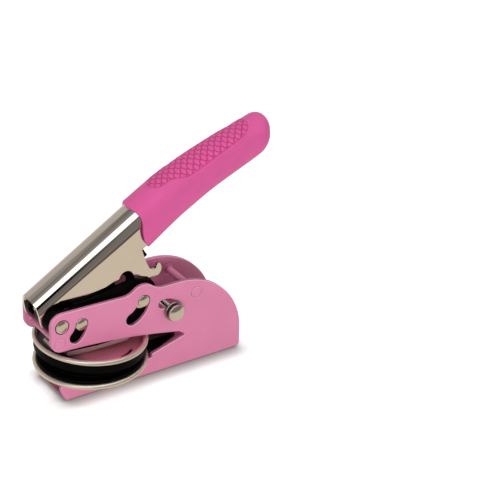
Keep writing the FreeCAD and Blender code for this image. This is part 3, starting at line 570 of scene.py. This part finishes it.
def dress(finish: Finish, *nodes: str) -> None:
    """Give CAD nodes a finish through their own material slots.

    Args:
        finish: The finish.
        nodes: Names of the nodes.
    """
    for node in nodes:
        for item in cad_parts[node].material_slots:
            item.material = finish.material()
        LOG.info("dressed %s in %s", node, finish.name)


def finish_piece(piece: Piece, finish: Finish, slot: str, body: str, *nodes: str) -> None:
    """Give a new piece its finish, stand it for CAD nodes, and let it ride.

    Args:
        piece: The piece.
        finish: Its finish.
        slot: The record's slot that it takes its finish from; not used.
        body: The CAD body that carries it, or nothing for a piece that crosses a joint.
        nodes: The CAD nodes that it stands for.
    """
    piece.data.materials.append(finish.material())
    if nodes:
        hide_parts(*nodes)
    if body:
        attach(piece, body)
    LOG.info("built %s on %s", piece.name, body or "two bodies")


# --- Sub-assemblies ---


class SubAssembly:
    """Pieces that belong together."""

    def dress(self) -> None:
        """Dress the CAD nodes that stay, where there are any."""

    def build(self) -> None:
        """Build the pieces."""


@dataclass(frozen=True)
class TurnedPin:
    """A pin of turned steel across the frame, with a shallow dome at each end."""

    name: str
    x: float
    z: float
    radius: float = 2.9
    groove_depth: float = 0.16
    groove_run: Pair = (0.65, 0.08)
    chamfer: float = 0.10
    corner: Pair = (0.09, 0.14)
    reach: float = 12.95
    rise: float = 0.40

    def end(self, way: float) -> list[Pair]:
        """Lay out one end, from the barrel to the middle of its dome.

        Args:
            way: The way it faces, -1 for the near side or 1 for the far side.

        Returns:
            Radius and place across of each point.
        """
        neck = self.radius - self.groove_depth
        back, front = self.groove_run
        rows = [(self.radius, way * (self.reach - back - self.chamfer)),
                (neck, way * (self.reach - back)), (neck, way * (self.reach - front)),
                (neck - self.corner[0], way * self.reach)]
        return rows + dome(neck - self.corner[1], way * self.reach, self.rise, way)

    def profile(self) -> list[Pair]:
        """Lay out the whole pin, from its near end to its far end."""
        return self.end(-1.0)[::-1] + self.end(1.0)

    def build(self, node: str, body: str) -> None:
        """Turn the pin, in place of its CAD node.

        Args:
            node: The CAD node that it stands for.
            body: The body that carries it.
        """
        piece = turned_piece(self.name, self.profile(), self.x, self.z)
        finish_piece(piece, PIN_STEEL, "pin_steel", body, node)


@dataclass(frozen=True)
class ShoulderedStud(TurnedPin):
    """A stud of the ram's tail, with a ring behind the side plate."""

    way: float = 1.0
    root: float = 8.3
    ring_radius: float = 4.2
    ring_inner: float = 10.2
    ring_outer: float = 10.95

    def profile(self) -> list[Pair]:
        """Lay out the stud's root, its ring and its end."""
        rows = [(self.radius, self.root), (self.radius, self.ring_inner),
                (self.ring_radius, self.ring_inner), (self.ring_radius, self.ring_outer),
                (self.radius, self.ring_outer)]
        rows = [(radius, self.way * across) for radius, across in rows] + self.end(self.way)
        return rows[::-1] if self.way > 0.0 else rows


@dataclass
class FoldedFrame(SubAssembly):
    """The folded sheet frame, its two riveted spacer bars and the pivot pin."""

    half_width: float = 13.0
    plate_inside: float = 11.4
    # Outline of the thin black strip inside each side plate, along its upper edge: painted shade
    # between the plate and the lever.
    shade_strip_outline: Pairs = (
        (-25.2, 41.8), (-25.0, 43.4), (-24.2, 44.9), (-22.9, 45.9), (-21.2, 46.3),
        (-6.0, 45.5), (3.4, 45.0), (3.4, 42.0),
    )
    shade_strip_across: Pair = (11.16, 11.36)
    pivot: TurnedPin = TurnedPin("pivot_head", -20.6, 38.7, 3.1)
    # A black ring round the pivot pin's head: painted shade in the gap round it.
    gap_hoop: float = 3.24
    gap_wire: float = 0.19
    # Each bar's name, place, riveted radius, radius between the plates and crease radius.
    bars: tuple[tuple[str, float, float, float, float, float], ...] = (
        ("front", -21.8, 30.3, 2.6, 1.6, 2.62), ("rear", 47.1, 36.0, 2.7, 1.7, 2.72),
    )
    crease: float = 0.09

    def dress(self) -> None:
        """Paint the frame."""
        dress(PINK_COAT, "side_frame")

    def build(self) -> None:
        """Turn the pivot pin and the bars, lay the black strips of painted shade and draw the fine
        rings of painted shade.
        """
        self.pivot.build("pivot_pin", "frame")
        # Black strips stand in for the shade between each side plate's upper edge and the lever.
        for side, way in SIDES:
            points = [point_mm(x, way * across, z) for across in self.shade_strip_across
                      for x, z in self.shade_strip_outline]
            strip = mesh_piece("shade_strip_" + side, points,
                               tube_faces(2, len(self.shade_strip_outline), closed=False))
            finish_piece(strip, BLACK_MOULDING_AND_SHADE, "ring_plastic", "frame")
        for name, x, z, rivet, waist, _ in self.bars:
            rows = [(rivet, self.half_width), (rivet, self.plate_inside),
                    (waist, self.plate_inside)]
            profile = [(radius, -across) for radius, across in rows] + rows[::-1]
            bar = turned_piece(name + "_waisted_bar", profile, x, z)
            finish_piece(bar, PINK_COAT, "frame_paint", "frame", name + "_spacer_bar")
        # The black ring round the pivot head is painted shade in its gap.
        rings = [("pivot_gap_shade_", self.pivot.x, self.pivot.z, self.gap_hoop, self.gap_wire,
                  BLACK_MOULDING_AND_SHADE, "ring_plastic")]
        # The rings round the bar ends take the darker pink of painted shade.
        rings += [(f"bar_{number}_crease_", x, z, radius, self.crease, CREASE_SHADE_COAT, "frame_paint")
                  for number, (_, x, z, _, _, radius) in enumerate(self.bars, start=1)]
        for name, x, z, hoop, wire, finish, slot in rings:
            for side, way in SIDES:
                place = Matrix.Translation(point_mm(x, way * self.half_width, z)) @ UPRIGHT
                finish_piece(hoop_piece(name + side, hoop, wire, place), finish, slot, "frame")


@dataclass
class DiePair(SubAssembly):
    """The hinged pair of round plates with rolled rims, their dies and their spring strap."""

    rim: float = 24.6
    bead: float = 1.22
    lower_height: float = 10.13
    upper_height: float = 21.4
    tilt: float = 4.5
    strap_half: float = 8.0
    strap_gauge: float = 0.8
    strap_steps: int = 12
    strap_front: float = 13.0
    lower_drop: float = 1.2
    lower_knee: float = 27.0
    lower_lean: float = 22.5
    upper_drop: float = 3.82
    upper_knee: float = 26.4
    upper_lean: float = 4.0
    bend_centre: Pair = (37.4, 14.1)
    bend_radius: float = 1.2
    # How far under and over the bend's centre the strap starts and ends its turn.
    bend_span: Pair = (0.8, 0.9)

    def dress(self) -> None:
        """Give the plates, dies and rivets their finishes."""
        dress(PLATE_NICKEL, "lower_die_plate")
        dress(PAN_NICKEL, "upper_die_plate")
        dress(DIE_BLACK, "lower_die", "upper_die")
        dress(PIN_STEEL, "lower_strap_rivets", "upper_strap_rivets")

    def build(self) -> None:
        """Build the round rolled rims and the strap."""
        for name, height, tilt, finish, body in (
                ("lower_rolled_rim", self.lower_height, 0.0, PLATE_NICKEL, "frame"),
                ("upper_rolled_rim", self.upper_height, self.tilt, RIM_NICKEL, "upper_clip")):
            lean = Matrix.Rotation(math.radians(tilt), 4, "Y")
            place = Matrix.Translation(point_mm(0.0, 0.0, height)) @ lean
            finish_piece(hoop_piece(name, self.rim, self.bead, place), finish, "plate_steel",
                         body)
        self.build_strap()

    def strap_line(self) -> list[Pair]:
        """Lay out the strap's middle line.

        Returns:
            Places (x, z) in millimetres, from the lower front end round to the upper one.
        """
        bend_x, bend_z = self.bend_centre
        low = self.lower_height - self.lower_drop - self.strap_gauge / 2.0
        slope = math.tan(math.radians(self.tilt))
        high = self.upper_height - self.upper_drop / math.cos(math.radians(self.tilt))
        line = [(x, low) for x in even(self.strap_front, self.lower_knee, self.strap_steps)]
        for turn in even(self.lower_lean - 90.0, 90.0 - self.upper_lean, self.strap_steps):
            angle = math.radians(turn)
            line.append((bend_x + self.bend_radius * math.cos(angle),
                         bend_z + self.bend_radius * math.sin(angle)))
        return line + [(x, high - x * slope)
                       for x in even(self.upper_knee, self.strap_front, self.strap_steps)]

    def build_strap(self) -> None:
        """Build the folded strap, which crosses the joint and rides on no body."""
        half, thick = self.strap_half, self.strap_gauge / 2.0
        section = ((-half, -thick), (half, -thick), (half, thick), (-half, thick))
        route = [point_mm(x, 0.0, z) for x, z in self.strap_line()]
        strap = swept_piece("folded_strap", route, section, sharp=True)
        finish_piece(strap, SPRING_STEEL, "spring_steel", "", "clip_spring")
        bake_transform(strap)


@dataclass
class LeverArm(SubAssembly):
    """The chrome channel with its drive pin, rings, bushes and core."""

    drive: TurnedPin = TurnedPin("drive_head", -10.998, 37.007)

    def dress(self) -> None:
        """Give each part of the lever its finish."""
        dress(LEVER_CHROME, "lever_channel")
        dress(BLACK_MOULDING_AND_SHADE, "drive_ring_near", "drive_ring_far", "pivot_bush_near",
              "pivot_bush_far", "grip_core")

    def build(self) -> None:
        """Turn the drive pin."""
        self.drive.build("drive_pin", "lever")


@dataclass
class SoftGrip(SubAssembly):
    """The drooping soft grip: a scalloped rim, a scaled back and a rounded tail."""

    # Place along, centre height, half height and half width.
    sections: Knots = (
        (52.75, 4.5, 11.55, 9.7), (70.0, 4.8, 11.0, 9.6), (80.0, 4.3, 10.8, 9.4),
        (89.0, 3.5, 10.5, 9.2), (98.0, 2.1, 10.2, 9.0), (108.7, 0.15, 9.9, 8.7),
        (116.0, -1.4, 9.4, 8.4), (123.7, -2.6, 8.7, 8.1), (130.0, -3.5, 8.5, 7.9),
    )
    # Share of the way round from the top to the bottom, and the rim's place along there.
    rim: Knots = (
        (0.0, 55.3), (0.08, 55.8), (0.15, 56.3), (0.23, 56.5), (0.30, 56.2), (0.37, 55.1),
        (0.445, 53.6), (0.53, 52.3), (0.60, 51.6), (0.68, 51.6), (0.77, 52.0), (0.85, 52.1),
        (1.0, 52.2),
    )
    # How far back from the rim and how far inside the surface each ring of its lip lies.
    rim_lip: Pairs = ((5.0, 1.35), (0.25, 1.35), (0.0, 1.15), (0.0, 0.3), (0.09, 0.09),
                      (0.32, 0.0))
    # Outline of the scaled patch: place along and distance round from the top.
    patch: Pairs = (
        (68.6, 0.0), (68.9, 1.6), (70.2, 3.6), (72.3, 4.8), (74.8, 5.1), (77.0, 5.0),
        (79.0, 5.9), (81.5, 7.6), (84.0, 8.9), (87.0, 9.2), (93.5, 9.1), (98.5, 8.8),
        (103.0, 8.4), (107.5, 8.0), (112.2, 7.5), (115.5, 6.8), (118.2, 5.4), (119.9, 3.8),
        (120.7, 1.9), (120.8, 0.0),
    )
    flat: float = 0.3
    body_start: float = 63.0
    body_step: float = 0.235
    neck_steps: int = 12
    patch_end: float = 121.6
    tail_start: float = 122.2
    straight_end: float = 122.9
    tail_round: float = 6.5
    tail_steps: int = 20
    # How far past the round, and how far drawn in, each ring of the tail's tip lies.
    tip_rings: Pairs = ((0.05, 6.9), (0.10, 7.2), (0.15, 7.4))
    slant_start: float = 96.0
    slant_rise: float = 3.86
    slant_front: float = 1.25
    slant_bow: float = 0.27
    slant_half: float = 8.6
    dense_round: float = 10.4
    dense_steps: int = 48
    coarse_steps: int = 14
    scale_pitch: float = 3.62
    scale_half: float = 2.07
    scale_start: float = 86.5
    scale_round: float = -0.47
    groove_half: float = 0.34
    groove_depth: float = 0.22
    edge_groove: float = 0.6
    recess: float = 0.14
    recess_edge: float = 0.15
    recess_run: float = 0.4
    lip: float = 0.10
    lip_half: float = 0.75
    relief_reach: float = 2.0

    def half_round(self, along: float, shrink: float) -> float:
        """Measure half the way round the grip, from the top to the bottom.

        Args:
            along: Place along the lever.
            shrink: Length taken off the half height and half width.

        Returns:
            The distance.
        """
        _, tall, wide = smooth_between(self.sections, along)
        corner = wide - shrink - self.flat
        return 2.0 * self.flat + math.pi * corner + 2.0 * (tall - shrink - corner)

    def section_point(self, along: float, way_round: float,
                      shrink: float) -> tuple[Vector, Vector]:
        """Find a point of the section: straight sides between two half rounds.

        Args:
            along: Place along the lever.
            way_round: Distance round from the top.
            shrink: Length taken off the half height and half width.

        Returns:
            The point and its outward direction, each as across and above.
        """
        height, tall, wide = smooth_between(self.sections, along)
        tall, corner = tall - shrink, wide - shrink - self.flat
        quarter = corner * math.pi / 2.0
        half = 2.0 * (self.flat + quarter + tall - corner)
        lower = way_round > half / 2.0
        rest = (half - way_round if lower else way_round) - self.flat
        if rest <= 0.0:
            spot, out = (max(rest + self.flat, 0.0), tall), (0.0, 1.0)
        elif rest <= quarter:
            turn = rest / corner
            out = (math.sin(turn), math.cos(turn))
            spot = (self.flat + corner * out[0], tall - corner + corner * out[1])
        else:
            spot, out = (self.flat + corner, tall - corner - rest + quarter), (1.0, 0.0)
        way = -1.0 if lower else 1.0
        return Vector((spot[0], height + way * spot[1])), Vector((out[0], way * out[1]))

    def rounds(self, half: float) -> list[float]:
        """Lay out distances round from the top, close together under the palm.

        Args:
            half: Half the way round.

        Returns:
            Distances from 0 to half.
        """
        return (even(0.0, self.dense_round, self.dense_steps)
                + even(self.dense_round, half, self.coarse_steps)[1:])

    def edge_distance(self, along: float, way_round: float) -> float:
        """Measure how far a point lies outside the scaled patch, negative inside it.

        Args:
            along: Place along the lever.
            way_round: Distance round from the top.

        Returns:
            The distance to the patch's outline.
        """
        spot = Vector((along, abs(way_round)))
        nearest, inside = math.inf, False
        for (s0, d0), (s1, d1) in zip(self.patch, self.patch[1:]):
            first, run = Vector((s0, d0)), Vector((s1 - s0, d1 - d0))
            share = clamp((spot - first).dot(run) / run.length_squared)
            nearest = min(nearest, (spot - first - run * share).length)
            if s0 <= along < s1 and spot.y < d0 + (d1 - d0) * (along - s0) / (s1 - s0):
                inside = True
        return -nearest if inside else nearest

    def scale_groove(self, along: float, way_round: float) -> float:
        """Find how deep a point lies in the grooves between the scales.

        Args:
            along: Place along the lever.
            way_round: Signed distance round, the near side positive.

        Returns:
            A value from 0 beside a groove to 1 in its middle.
        """
        rows_round = (way_round - self.scale_round) / self.scale_half
        half_pitch = self.scale_pitch / 2.0
        deepest = 0.0
        for row in (math.floor(rows_round), math.floor(rows_round) + 1):
            start = self.scale_start - (half_pitch if row % 2 == 0 else 0.0)
            behind = (along - start) % self.scale_pitch
            for tip in (behind, behind - self.scale_pitch):
                back = tip / half_pitch - 1.0
                if back <= 0.0:
                    off = abs(math.hypot(back, rows_round - row) - 1.0) * half_pitch
                    deepest = max(deepest, 1.0 - (off / self.groove_half) ** 2)
        return deepest

    def relief(self, along: float, way_round: float) -> Pair:
        """Work out the scaled patch's relief at a point.

        Args:
            along: Place along the lever.
            way_round: Signed distance round, the near side positive.

        Returns:
            How far the surface stands proud, and how deep in a groove it lies.
        """
        outside = self.edge_distance(along, way_round)
        if outside > self.relief_reach:
            return 0.0, 0.0
        sunk = clamp((self.recess_edge - outside) / self.recess_run)
        groove = self.edge_groove * max(0.0, 1.0 - (outside / self.groove_half) ** 2)
        if outside < 0.0:
            groove = max(groove, self.scale_groove(along, way_round))
        lip = max(0.0, 1.0 - ((outside - self.lip_half) / self.lip_half) ** 2)
        return self.lip * lip - self.recess * sunk - self.groove_depth * groove, groove

    def ring(self, place: Callable[[float], float], shrink: float = 0.0, inward: float = 0.0,
             shares: Sequence[float] = ()) -> Ring:
        """Lay out one ring of the grip, from the top by the far side and back by the near side.

        Args:
            place: Gives the place along for a share of the way round.
            shrink: Length taken off the half height and half width.
            inward: How far the ring lies inside the surface.
            shares: Shares of the way round to use, or nothing for the close layout.

        Returns:
            For each point its position and how deep in a groove it lies.
        """
        half = self.half_round(place(0.5), shrink)
        rounds = [share * half for share in shares] or self.rounds(half)
        spots: Ring = []
        for way, distances in ((1.0, rounds), (-1.0, rounds[-2:0:-1])):
            for distance in distances:
                along = place(distance / half)
                spot, out = self.section_point(along, min(distance, half), shrink)
                lift, groove = self.relief(along, -way * distance)
                spot = spot + out * (lift - inward)
                spots.append((on_lever(along, way * spot.x, spot.y), groove))
        return spots

    def build(self) -> None:
        """Build the grip and stand it for the CAD solid."""
        rows = [self.ring(lambda way, back=back: self.rim_place(way) + back, inward=inward)
                for back, inward in self.rim_lip]
        rows += [self.ring(lambda way, share=share: self.rim_place(way) * (1.0 - share)
                           + self.body_start * share)
                 for share in even(0.0, 1.0, self.neck_steps)[1:-1]]
        count = round((self.patch_end - self.body_start) / self.body_step)
        rows += [self.ring(lambda way, along=along: self.slanted(along, way))
                 for along in even(self.body_start, self.patch_end, count)]
        rows += self.tail_rows()
        points = [spot for row in rows for spot, _ in row]
        grip = mesh_piece("soft_grip", points, tube_faces(len(rows), len(rows[0]), closed=False))
        # The groove depth also weights the painted shade in the grooves.
        depth = grip.data.attributes.new("groove", "FLOAT", "POINT")
        depth.data.foreach_set("value", [groove for row in rows for _, groove in row])
        finish_piece(grip, SOFT_PINK, "grip_rubber", "lever", "hand_grip")

    def slanted(self, along: float, way: float, shrink: float = 0.0) -> float:
        """Slant a place along towards the tail, whose upper edge reaches further back.

        Args:
            along: Place along the lever.
            way: Share of the way round from the top to the bottom.
            shrink: How far the ring is drawn in towards the middle.

        Returns:
            The slanted place along.
        """
        share = clamp((along - self.slant_start) / (self.patch_end - self.slant_start))
        rise = math.cos(math.pi * way) * (1.0 - shrink / self.slant_half)
        shift = self.slant_rise * rise - self.slant_front - self.slant_bow * rise * rise
        return along + share * share * shift

    def rim_place(self, way: float) -> float:
        """Give the rim's place along for a share of the way round."""
        return smooth_between(self.rim, way)[0]

    def tail_rows(self) -> list[Ring]:
        """Lay out the rings that close the tail.

        Returns:
            The rings, from the end of the patch to the middle of the tail.
        """
        half = self.half_round(self.patch_end, 0.0)
        shares = [distance / half for distance in self.rounds(half)]
        stations = [(self.tail_start, 0.0), (self.straight_end, 0.0)]
        for turn in even(0.0, math.pi / 2.0, self.tail_steps)[1:]:
            stations.append((self.straight_end + self.tail_round * math.sin(turn),
                             self.tail_round * (1.0 - math.cos(turn))))
        tip = self.straight_end + self.tail_round
        stations += [(tip + past, shrink) for past, shrink in self.tip_rings]
        return [self.ring(lambda way, along=along, shrink=shrink:
                          self.slanted(along, way, shrink), shrink, shares=shares)
                for along, shrink in stations]


@dataclass
class PressRam(SubAssembly):
    """The black ram with its steel sole and its guide studs."""

    stud_x: float = 20.066
    stud_z: float = 39.391

    def dress(self) -> None:
        """Give the ram and its sole their finishes."""
        dress(RAM_BLACK, "ram")
        dress(SOLE_STEEL, "ram_sole")

    def build(self) -> None:
        """Turn the two guide studs."""
        for side, way in SIDES:
            stud = ShoulderedStud("guide_head_" + side, self.stud_x, self.stud_z, way=way)
            stud.build("guide_stud_" + side, "ram")


@dataclass
class LockSlide(SubAssembly):
    """The lock pin with its spool-shaped knob and its retainer."""

    x: float = 34.570
    z: float = 30.854
    # Radius and place across of each corner.
    collar: Pairs = (
        (1.4, -16.2), (2.7, -16.2), (2.7, -15.2), (2.9, -15.05), (4.4, -15.05),
        (4.65, -14.8), (4.65, -14.35), (4.35, -14.15), (1.4, -14.15),
    )
    head: Pairs = ((3.7, -17.17), (3.84, -17.07), (3.9, -16.95), (3.9, -16.3), (3.7, -16.1),
                   (1.4, -16.1))
    head_dome: Point = (3.6, -17.19, 0.71)
    washer: Pairs = (
        (1.5, 13.35), (6.35, 13.35), (6.5, 13.5), (6.5, 14.0), (6.35, 14.15), (2.6, 14.15),
        (2.4, 14.05), (1.5, 14.05),
    )

    def dress(self) -> None:
        """Give the lock's pin its finish."""
        dress(PIN_STEEL, "lock_pin")

    def build(self) -> None:
        """Turn the knob, a domed head on a flanged collar, and the washer on the far side."""
        # The collar takes the knob's steel darkened with painted shade.
        collar = turned_piece("knob_collar", self.collar, self.x, self.z)
        finish_piece(collar, SHADED_COLLAR_STEEL, "knob_steel", "lock")
        profile = dome(*self.head_dome, -1.0)[::-1] + list(self.head)
        knob = turned_piece("pull_knob", profile, self.x, self.z)
        finish_piece(knob, KNOB_STEEL, "knob_steel", "lock", "lock_knob")
        # The washer is dark with painted shade.
        washer = turned_piece("wide_washer", self.washer, self.x, self.z)
        finish_piece(washer, SHADE_DARK_WASHER_STEEL, "knob_steel", "lock", "lock_retainer")


@dataclass
class ReturnCoil(SubAssembly):
    """The torsion spring round the pivot, with a leg on the front bar and one in the lever."""

    coil: float = 4.45
    wire: float = 0.55
    wire_sides: int = 12
    pitch: float = 1.35
    turns: int = 5
    steps: int = 28
    foot: Pair = (-20.0, 28.4)
    reach: float = 13.0
    bend: float = 1.0
    tip: float = 11.6

    def build(self) -> None:
        """Build the spring, wound between the frame and the lever."""
        half = self.pitch * self.turns / 2.0
        route = [point_mm(self.foot[0], half, self.foot[1])]
        for step in range(self.turns * self.steps + 1):
            turn = 2.0 * math.pi * step / self.steps
            route.append(PIVOT + point_mm(math.cos(turn) * self.coil,
                                          half - self.pitch * step / self.steps,
                                          math.sin(turn) * self.coil))
        route += [on_lever(self.reach - self.bend, -half, self.coil),
                  on_lever(self.reach, -half, self.coil + self.bend),
                  on_lever(self.reach, -half, self.tip)]
        section = [(self.wire * side, self.wire * lift)
                   for side, lift in round_steps(self.wire_sides)]
        spring = swept_piece("return_coil", route, section)
        finish_piece(spring, SPRING_STEEL, "spring_steel", "", "return_spring")
        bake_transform(spring)


# --- Studio ---


@dataclass
class Studio(SubAssembly):
    """A pale table, a soft light box, dark surroundings for the metal, and the camera."""

    azimuth: float = -33.796
    elevation: float = 28.898
    roll: float = 1.671
    place: Point = (-0.34359, -0.63033, 0.46635)
    lens: float = 142.5
    sensor: float = 36.0
    clip_start: float = 0.01
    soft_light: float = 0.46
    soft_tint: Colour = (1.0, 0.99, 0.98)
    # Each light box's name, place, width and height, and power in watts.
    boxes: tuple[tuple[str, Point, Pair, float], ...] = (
        ("main_box", (-0.05, 0.25, 1.05), (0.6, 0.45), 5.0),
        ("front_box", (-0.30, -1.05, 0.13), (0.9, 0.25), 6.6),
    )
    aim: Point = (0.02, 0.0, 0.03)
    wall_light: float = 1.8
    wall_tint: Colour = (0.555, 0.500, 0.456)
    # Angle about the lever, in degrees from over it towards the near side, and brightness.
    front_strips: Pairs = (
        (-180.0, 0.66), (-95.0, 0.66), (-80.0, 0.52), (-38.0, 0.50), (-33.0, 0.34),
        (-8.0, 0.31), (-3.0, 0.19), (5.0, 0.21), (11.0, 0.27), (23.0, 0.31), (25.5, 3.0),
        (53.0, 3.0), (55.0, 0.0), (70.0, 0.0), (72.5, 0.16), (116.0, 0.19), (119.0, 0.08),
        (132.0, 0.10), (150.0, 0.5), (180.0, 0.6),
    )
    rear_strips: Pairs = (
        (-180.0, 0.66), (-95.0, 0.66), (-80.0, 0.53), (-34.0, 0.50), (-28.0, 0.40),
        (-22.0, 0.18), (-8.0, 0.18), (0.0, 0.23), (11.0, 0.27), (21.0, 0.33), (25.5, 3.0),
        (56.0, 3.0), (58.0, 0.10), (60.0, 0.16), (72.0, 0.22), (80.0, 0.20), (114.0, 0.21),
        (119.0, 0.09), (132.0, 0.10), (150.0, 0.5), (180.0, 0.6),
    )
    # How far along the lever the front strips give way to the rear ones.
    strips_meet: Pair = (0.080, 0.125)
    table_half: float = 3.0
    table_matt: float = 0.80
    table_seen: float = 0.34
    # What the metal sees of the table, and where that starts and ends across it.
    table_tones: Tones = (
        (0.0, (0.86, 0.84, 0.80)), (0.30, (0.80, 0.74, 0.66)), (0.36, (0.72, 0.62, 0.50)),
        (0.47, (0.70, 0.60, 0.48)), (0.49, (0.11, 0.09, 0.085)), (0.56, (0.11, 0.09, 0.085)),
        (0.60, (0.21, 0.185, 0.165)), (1.0, (0.21, 0.185, 0.165)),
    )
    table_span: Pair = (0.3, -0.6)
    # How open the table lies to the sky over a few millimetres, and the painted contact shadow
    # shown for it.
    contact_reach: float = 0.009
    contact_tones: Tones = (
        (0.40, (0.10, 0.09, 0.085)), (0.66, (0.30, 0.285, 0.275)), (0.84, (0.56, 0.55, 0.545)),
        (0.95, (0.78, 0.78, 0.78)), (0.99, (0.88, 0.88, 0.88)),
    )

    def build(self) -> None:
        """Build the whole studio."""
        self.build_camera()
        self.build_table()
        self.build_world()
        self.build_lamps()
        bpy.context.scene.view_settings.view_transform = "Standard"

    def build_camera(self) -> None:
        """Stand the camera where the object is seen from above its near front corner."""
        turn, rise = math.radians(self.azimuth), math.radians(self.elevation)
        back = Vector((math.sin(turn) * math.cos(rise), -math.cos(turn) * math.cos(rise),
                       math.sin(rise)))
        level = Vector((math.cos(turn), math.sin(turn), 0.0))
        upright = back.cross(level)
        tip = math.radians(self.roll)
        right = level * math.cos(tip) + upright * math.sin(tip)
        above = upright * math.cos(tip) - level * math.sin(tip)
        data = bpy.data.cameras.new("studio_camera")
        data.lens = self.lens
        data.sensor_width = self.sensor
        data.clip_start = self.clip_start
        camera = new_object("studio_camera", data)
        turned = Matrix((right, above, back)).transposed().to_4x4()
        camera.matrix_world = Matrix.Translation(Vector(self.place)) @ turned
        bpy.context.scene.camera = camera

    def build_table(self) -> None:
        """Lay a wide pale table that shows white and keeps the object's shadow."""
        corners = [Vector((x * self.table_half, y * self.table_half, 0.0))
                   for x, y in ((-1, -1), (1, -1), (1, 1), (-1, 1))]
        table = mesh_piece("table", corners, [(0, 1, 2, 3)])
        made = bpy.data.materials.new("pale_table")
        sheet = NodeSheet(made)
        matt, shaded = (sheet.add("BsdfDiffuse", {"Color": (grey, grey, grey, 1.0)})
                        for grey in (self.table_matt, self.table_seen))
        open_sky = sheet.add("AmbientOcclusion", {"Distance": self.contact_reach},
                             samples=SKY_SAMPLES)
        contact = sheet.ramp(open_sky.outputs["AO"], self.contact_tones)
        shown = sheet.add("Emission", {"Color": contact})
        seen = sheet.add("AddShader", {0: shaded.outputs[0], 1: shown.outputs[0]})
        across = sheet.parts(sheet.place())[1]
        tones = sheet.ramp(sheet.spread(across, *self.table_span), self.table_tones)
        sheet.by_ray(matt, sheet.add("Emission", {"Color": tones}), seen)
        table.data.materials.append(made)

    def build_world(self) -> None:
        """Light softly from all round; show white behind, and studio walls to the metal."""
        world = bpy.data.worlds.new("studio_world")
        bpy.context.scene.world = world
        sheet = NodeSheet(world, "OutputWorld")
        soft = sheet.add("Background", {"Color": (*self.soft_tint, 1.0),
                                        "Strength": self.soft_light})
        walls = sheet.add("Background", {"Color": self.wall_colour(sheet),
                                         "Strength": self.wall_light})
        white = sheet.add("Background", {"Color": (1.0, 1.0, 1.0, 1.0)})
        sheet.by_ray(soft, walls, white)

    def wall_colour(self, sheet: NodeSheet) -> Socket:
        """Colour the surroundings in long strips that run along the lever.

        Args:
            sheet: The world's node sheet.

        Returns:
            The colour of the surroundings.
        """
        way = sheet.place("Generated")
        above, near, ahead = (
            sheet.add("VectorMath", {0: way, 1: axis}, operation="DOT_PRODUCT").outputs["Value"]
            for axis in (LEVER_ABOVE, (0.0, -1.0, 0.0), LEVER_AHEAD))
        share = sheet.spread(sheet.math("ARCTAN2", near, above), -math.pi, math.pi)
        front, rear = (sheet.ramp(share, [(angle / 360.0 + 0.5, shade(self.wall_tint, level))
                                          for angle, level in strips])
                       for strips in (self.front_strips, self.rear_strips))
        return sheet.mix(sheet.spread(ahead, *self.strips_meet), front, rear)

    def build_lamps(self) -> None:
        """Hang the light boxes, facing the object."""
        for name, place, (width, height), power in self.boxes:
            data = bpy.data.lights.new(name, "AREA")
            data.shape = "RECTANGLE"
            data.size, data.size_y, data.energy = width, height, power
            lamp = new_object(name, data)
            lamp.location = place
            lamp.visible_glossy = False
            way = Vector(self.aim) - Vector(place)
            lamp.rotation_euler = way.to_track_quat("-Z", "Y").to_euler()


def main() -> None:
    """Build and dress every sub-assembly, the studio first."""
    logging.basicConfig(level=logging.INFO, format="%(name)s: %(message)s")
    for part in (Studio(), FoldedFrame(), DiePair(), LeverArm(), SoftGrip(), PressRam(),
                 LockSlide(), ReturnCoil()):
        part.dress()
        part.build()


if __name__ == "__main__":
    main()
